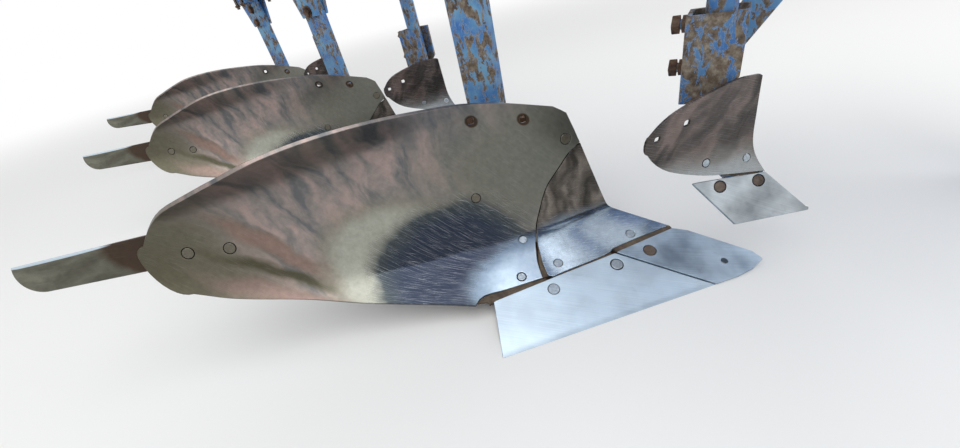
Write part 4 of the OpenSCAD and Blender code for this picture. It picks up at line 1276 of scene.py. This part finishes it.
class PLOUGH_OT_clamps(bpy.types.Operator):
    """Makes the U-bolts of the legs, the tube caps and the stand's locking pin"""

    bl_idname = "plough.clamps"
    bl_label = "U-bolts, caps and locking pin"

    def execute(self, context):
        axis, ahead, left = beam_line()
        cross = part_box("cross_beam")
        half, low, top = (cross[1].z - cross[0].z) / 2, cross[0].z, cross[1].z
        reach = half + ROD_SIDE
        bend = [
            (reach - ROD_BEND + ROD_BEND * math.cos(v),
             top + ROD_ABOVE - ROD_BEND + ROD_BEND * math.sin(v))
            for v in np.linspace(0, math.pi / 2, 7)]
        side = [(reach, low - ROD_END)] + bend
        path = side + [(-b, z) for b, z in side[::-1]]
        bars, nuts = [], []
        for i in BODIES:
            foot = axis + body_origin(i) - body_origin(1)
            for a in (-ROD_PAIR, ROD_PAIR):
                base = foot + ahead * a
                bars.append([base + left * b + Vector((0, 0, z)) for b, z in path])
                nuts += [
                    (base + left * b + Vector((0, 0, low - NUT_BELOW)), (0, 0, -1), NUT_SIZE)
                    for b in (reach, -reach)]
        rod, steel = rod_tree(), "greasy_screw_steel"
        on_lines("u_bolts", bars, rod, {"Radius": ROD_R}, steel, smooth=True)
        fasteners("u_bolt_nuts", bpy.data.node_groups["hexagon_nut"], nuts, "rusted_casting")

        upright, inner = Vector((0, 0, 1)), 2 * half - 2 * TUBE_WALL - CAP_PLAY
        mid = Vector(((cross[0].x + cross[1].x) / 2, 0, low + half))
        for name, y, out in (("left", cross[1].y, 1), ("right", cross[0].y, -1)):
            add_cap(f"cross_beam_cap_{name}", Vector((mid.x, y - out * CAP_SUNK, mid.z)),
                    Vector((0, out, 0)), upright, inner, FRAME_BODY)
        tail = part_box("main_beam")
        back = (tail[1].y - (axis.y + left.y * half)) / ahead.y
        end = axis + ahead * (back + CAP_SUNK) + Vector((0, 0, mid.z))
        add_cap("main_beam_cap", end, -ahead, upright, inner, FRAME_BODY)
        stand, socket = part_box("stand_leg"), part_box("stand_socket")
        middle = (socket[0] + socket[1]) / 2
        add_cap("stand_cap", Vector((middle.x, middle.y, stand[1].z - CAP_SUNK)), upright,
                Vector((1, 0, 0)), STAND_CAP, "parking_stand")

        # The pin is on the outer side of the socket, and its ring hangs from its end
        start = Vector((middle.x, socket[1].y - PIN_IN, middle.z))
        pin = [start, start + Vector((0, PIN_L, 0))]
        loop = [
            start + Vector((PIN_RING * math.cos(a), RING_OUT, RING_DOWN + PIN_RING * math.sin(a)))
            for a in np.linspace(0, 2 * math.pi, 25)]
        for name, line, r in (("locking_pin", pin, PIN_R), ("locking_pin_ring", loop, PIN_WIRE)):
            on_lines(name, [line], rod, {"Radius": r}, steel)
        return {"FINISHED"}


# ---------------------------------------------------------------- stage
# Camera, solved from the photograph: place in mm from the first body's tip, its right and
# forward axes, focal length and width of the picture in pixels
CAMERA_AT = (-111.6, -781.9, 620)
CAMERA_RIGHT, CAMERA_FORWARD = (0.8534, 0.4817, -0.1993), (-0.5041, 0.6651, -0.5509)
FOCAL_PX, WIDTH_PX, SENSOR = 381.68, 960, 36.0
# Distances from the middle at which the floor starts to fade and is gone, and its size
FADE_FROM, FADE_TO, FLOOR_SIZE = 1.4, 7.5, 60
# Lamps: place from the plough's middle, size, power by the key light's; height they aim at
AIM_Z = 0.3
LAMPS = {
    "key_light": ((0.8, -1.6, 4.2), 4.5, 1.0), "side_light": ((3.6, 1.8, 2.6), 2.5, 0.35)}


class PLOUGH_OT_stage(bpy.types.Operator):
    """Makes the camera, the floor, the backdrop and the lights"""

    bl_idname = "plough.stage"
    bl_label = "Camera and studio"

    def execute(self, context):
        p = context.scene.plough_stage
        data = bpy.data.cameras.new("camera")
        camera = placed("camera", data)
        right, forward = Vector(CAMERA_RIGHT).normalized(), Vector(CAMERA_FORWARD)
        forward = (forward - right * forward.dot(right)).normalized()
        turn = Matrix((right, right.cross(forward), -forward)).transposed()
        camera.matrix_world = Matrix.Translation(in_row(1, CAMERA_AT)) @ turn.to_4x4()
        data.sensor_width = SENSOR
        data.lens = SENSOR * FOCAL_PX / WIDTH_PX
        data.clip_start, data.clip_end = 0.03, 200
        context.scene.camera = camera

        # Painted board that fades to the white of the background far from the plough
        t, shader, place = material("studio_floor")
        feed(shader, {"Base Color": (*p.floor, 1), "Roughness": 0.75})
        far = add(t, VECTOR, {0: place}, operation="LENGTH")
        fade = add(
            t, "ShaderNodeMapRange", {0: far, 1: FADE_FROM, 2: FADE_TO},
            interpolation_type="SMOOTHSTEP")
        rays = add(t, "ShaderNodeLightPath").outputs
        seen = add(
            t, MATH, {0: rays["Is Camera Ray"], 1: rays["Is Glossy Ray"]}, operation="MAXIMUM")
        both = add(t, MATH, {0: seen, 1: fade}, operation="MULTIPLY")
        white = add(t, "ShaderNodeEmission", {0: grey(1), 1: 1.0})
        out = next(n for n in t.nodes if n.type == "OUTPUT_MATERIAL")
        feed(out, {0: add(t, "ShaderNodeMixShader", {0: both, 1: shader, 2: white})})
        mesh = bpy.data.meshes.new("studio_floor_mesh")
        with edited(mesh) as bm:
            bmesh.ops.create_grid(bm, x_segments=1, y_segments=1, size=FLOOR_SIZE)
        mesh.materials.append(bpy.data.materials["studio_floor"])
        floor = placed("studio_floor", mesh)
        floor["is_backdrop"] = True

        world = bpy.data.worlds.new("studio")
        world.use_nodes = True
        context.scene.world = world
        w = world.node_tree
        w.nodes.clear()
        rays = add(w, "ShaderNodeLightPath").outputs
        shown = rays["Is Camera Ray"]
        for other in ("Is Transmission Ray", "Is Glossy Ray"):
            shown = add(w, MATH, {0: shown, 1: rays[other]}, operation="MAXIMUM")
        lit = add(w, "ShaderNodeBackground", {0: colour("#e4e6e8"), 1: 0.85})
        pale = add(w, "ShaderNodeBackground", {0: grey(1), 1: 1.0})
        add(w, "ShaderNodeOutputWorld", {
            0: add(w, "ShaderNodeMixShader", {0: shown, 1: lit, 2: pale})})

        lo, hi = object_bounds()
        middle = (lo + hi) / 2
        for name, (where, size, power) in LAMPS.items():
            lamp = bpy.data.lights.new(name, "AREA")
            lamp.shape, lamp.size, lamp.energy = "SQUARE", size, p.key * power
            holder = placed(name, lamp)
            holder.location = Vector((middle.x, middle.y, 0)) + Vector(where)
            aim = Vector((middle.x, middle.y, AIM_Z)) - holder.location
            holder.rotation_mode = "QUATERNION"
            holder.rotation_quaternion = aim.to_track_quat("-Z", "Y")
        context.scene.view_settings.view_transform = "Standard"
        return {"FINISHED"}


class PLOUGH_PT_panel(bpy.types.Panel):
    """Lists the steps that dress the plough"""

    bl_idname = "PLOUGH_PT_panel"
    bl_label = "Moldboard plough"
    bl_space_type = "VIEW_3D"
    bl_region_type = "UI"
    bl_category = "Plough"

    def draw(self, context):
        for step in STEPS:
            self.layout.operator(step.bl_idname)
        for group in GROUPS:
            settings = getattr(context.scene, group)
            for key in settings.__annotations__:
                self.layout.prop(settings, key)


GROUPS = {
    "plough_bodies": PLOUGH_PG_bodies,
    "plough_frame": PLOUGH_PG_frame,
    "plough_stage": PLOUGH_PG_stage,
}
STEPS = (
    PLOUGH_OT_stage, PLOUGH_OT_moldboards, PLOUGH_OT_shares, PLOUGH_OT_skimmers,
    PLOUGH_OT_frame, PLOUGH_OT_bolts, PLOUGH_OT_soil, PLOUGH_OT_welds, PLOUGH_OT_clamps,
)


def register():
    for c in (*GROUPS.values(), *STEPS, PLOUGH_PT_panel):
        bpy.utils.register_class(c)
    for name, group in GROUPS.items():
        setattr(bpy.types.Scene, name, bpy.props.PointerProperty(type=group))


def unregister():
    for name in GROUPS:
        delattr(bpy.types.Scene, name)
    for c in (*GROUPS.values(), *STEPS, PLOUGH_PT_panel):
        bpy.utils.unregister_class(c)


def main():
    """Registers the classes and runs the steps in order."""
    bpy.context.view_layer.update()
    register()
    make_materials()
    for step in STEPS:
        name = step.bl_idname.split(".")[1]
        getattr(bpy.ops.plough, name)()


if __name__ == "__main__":
    main()
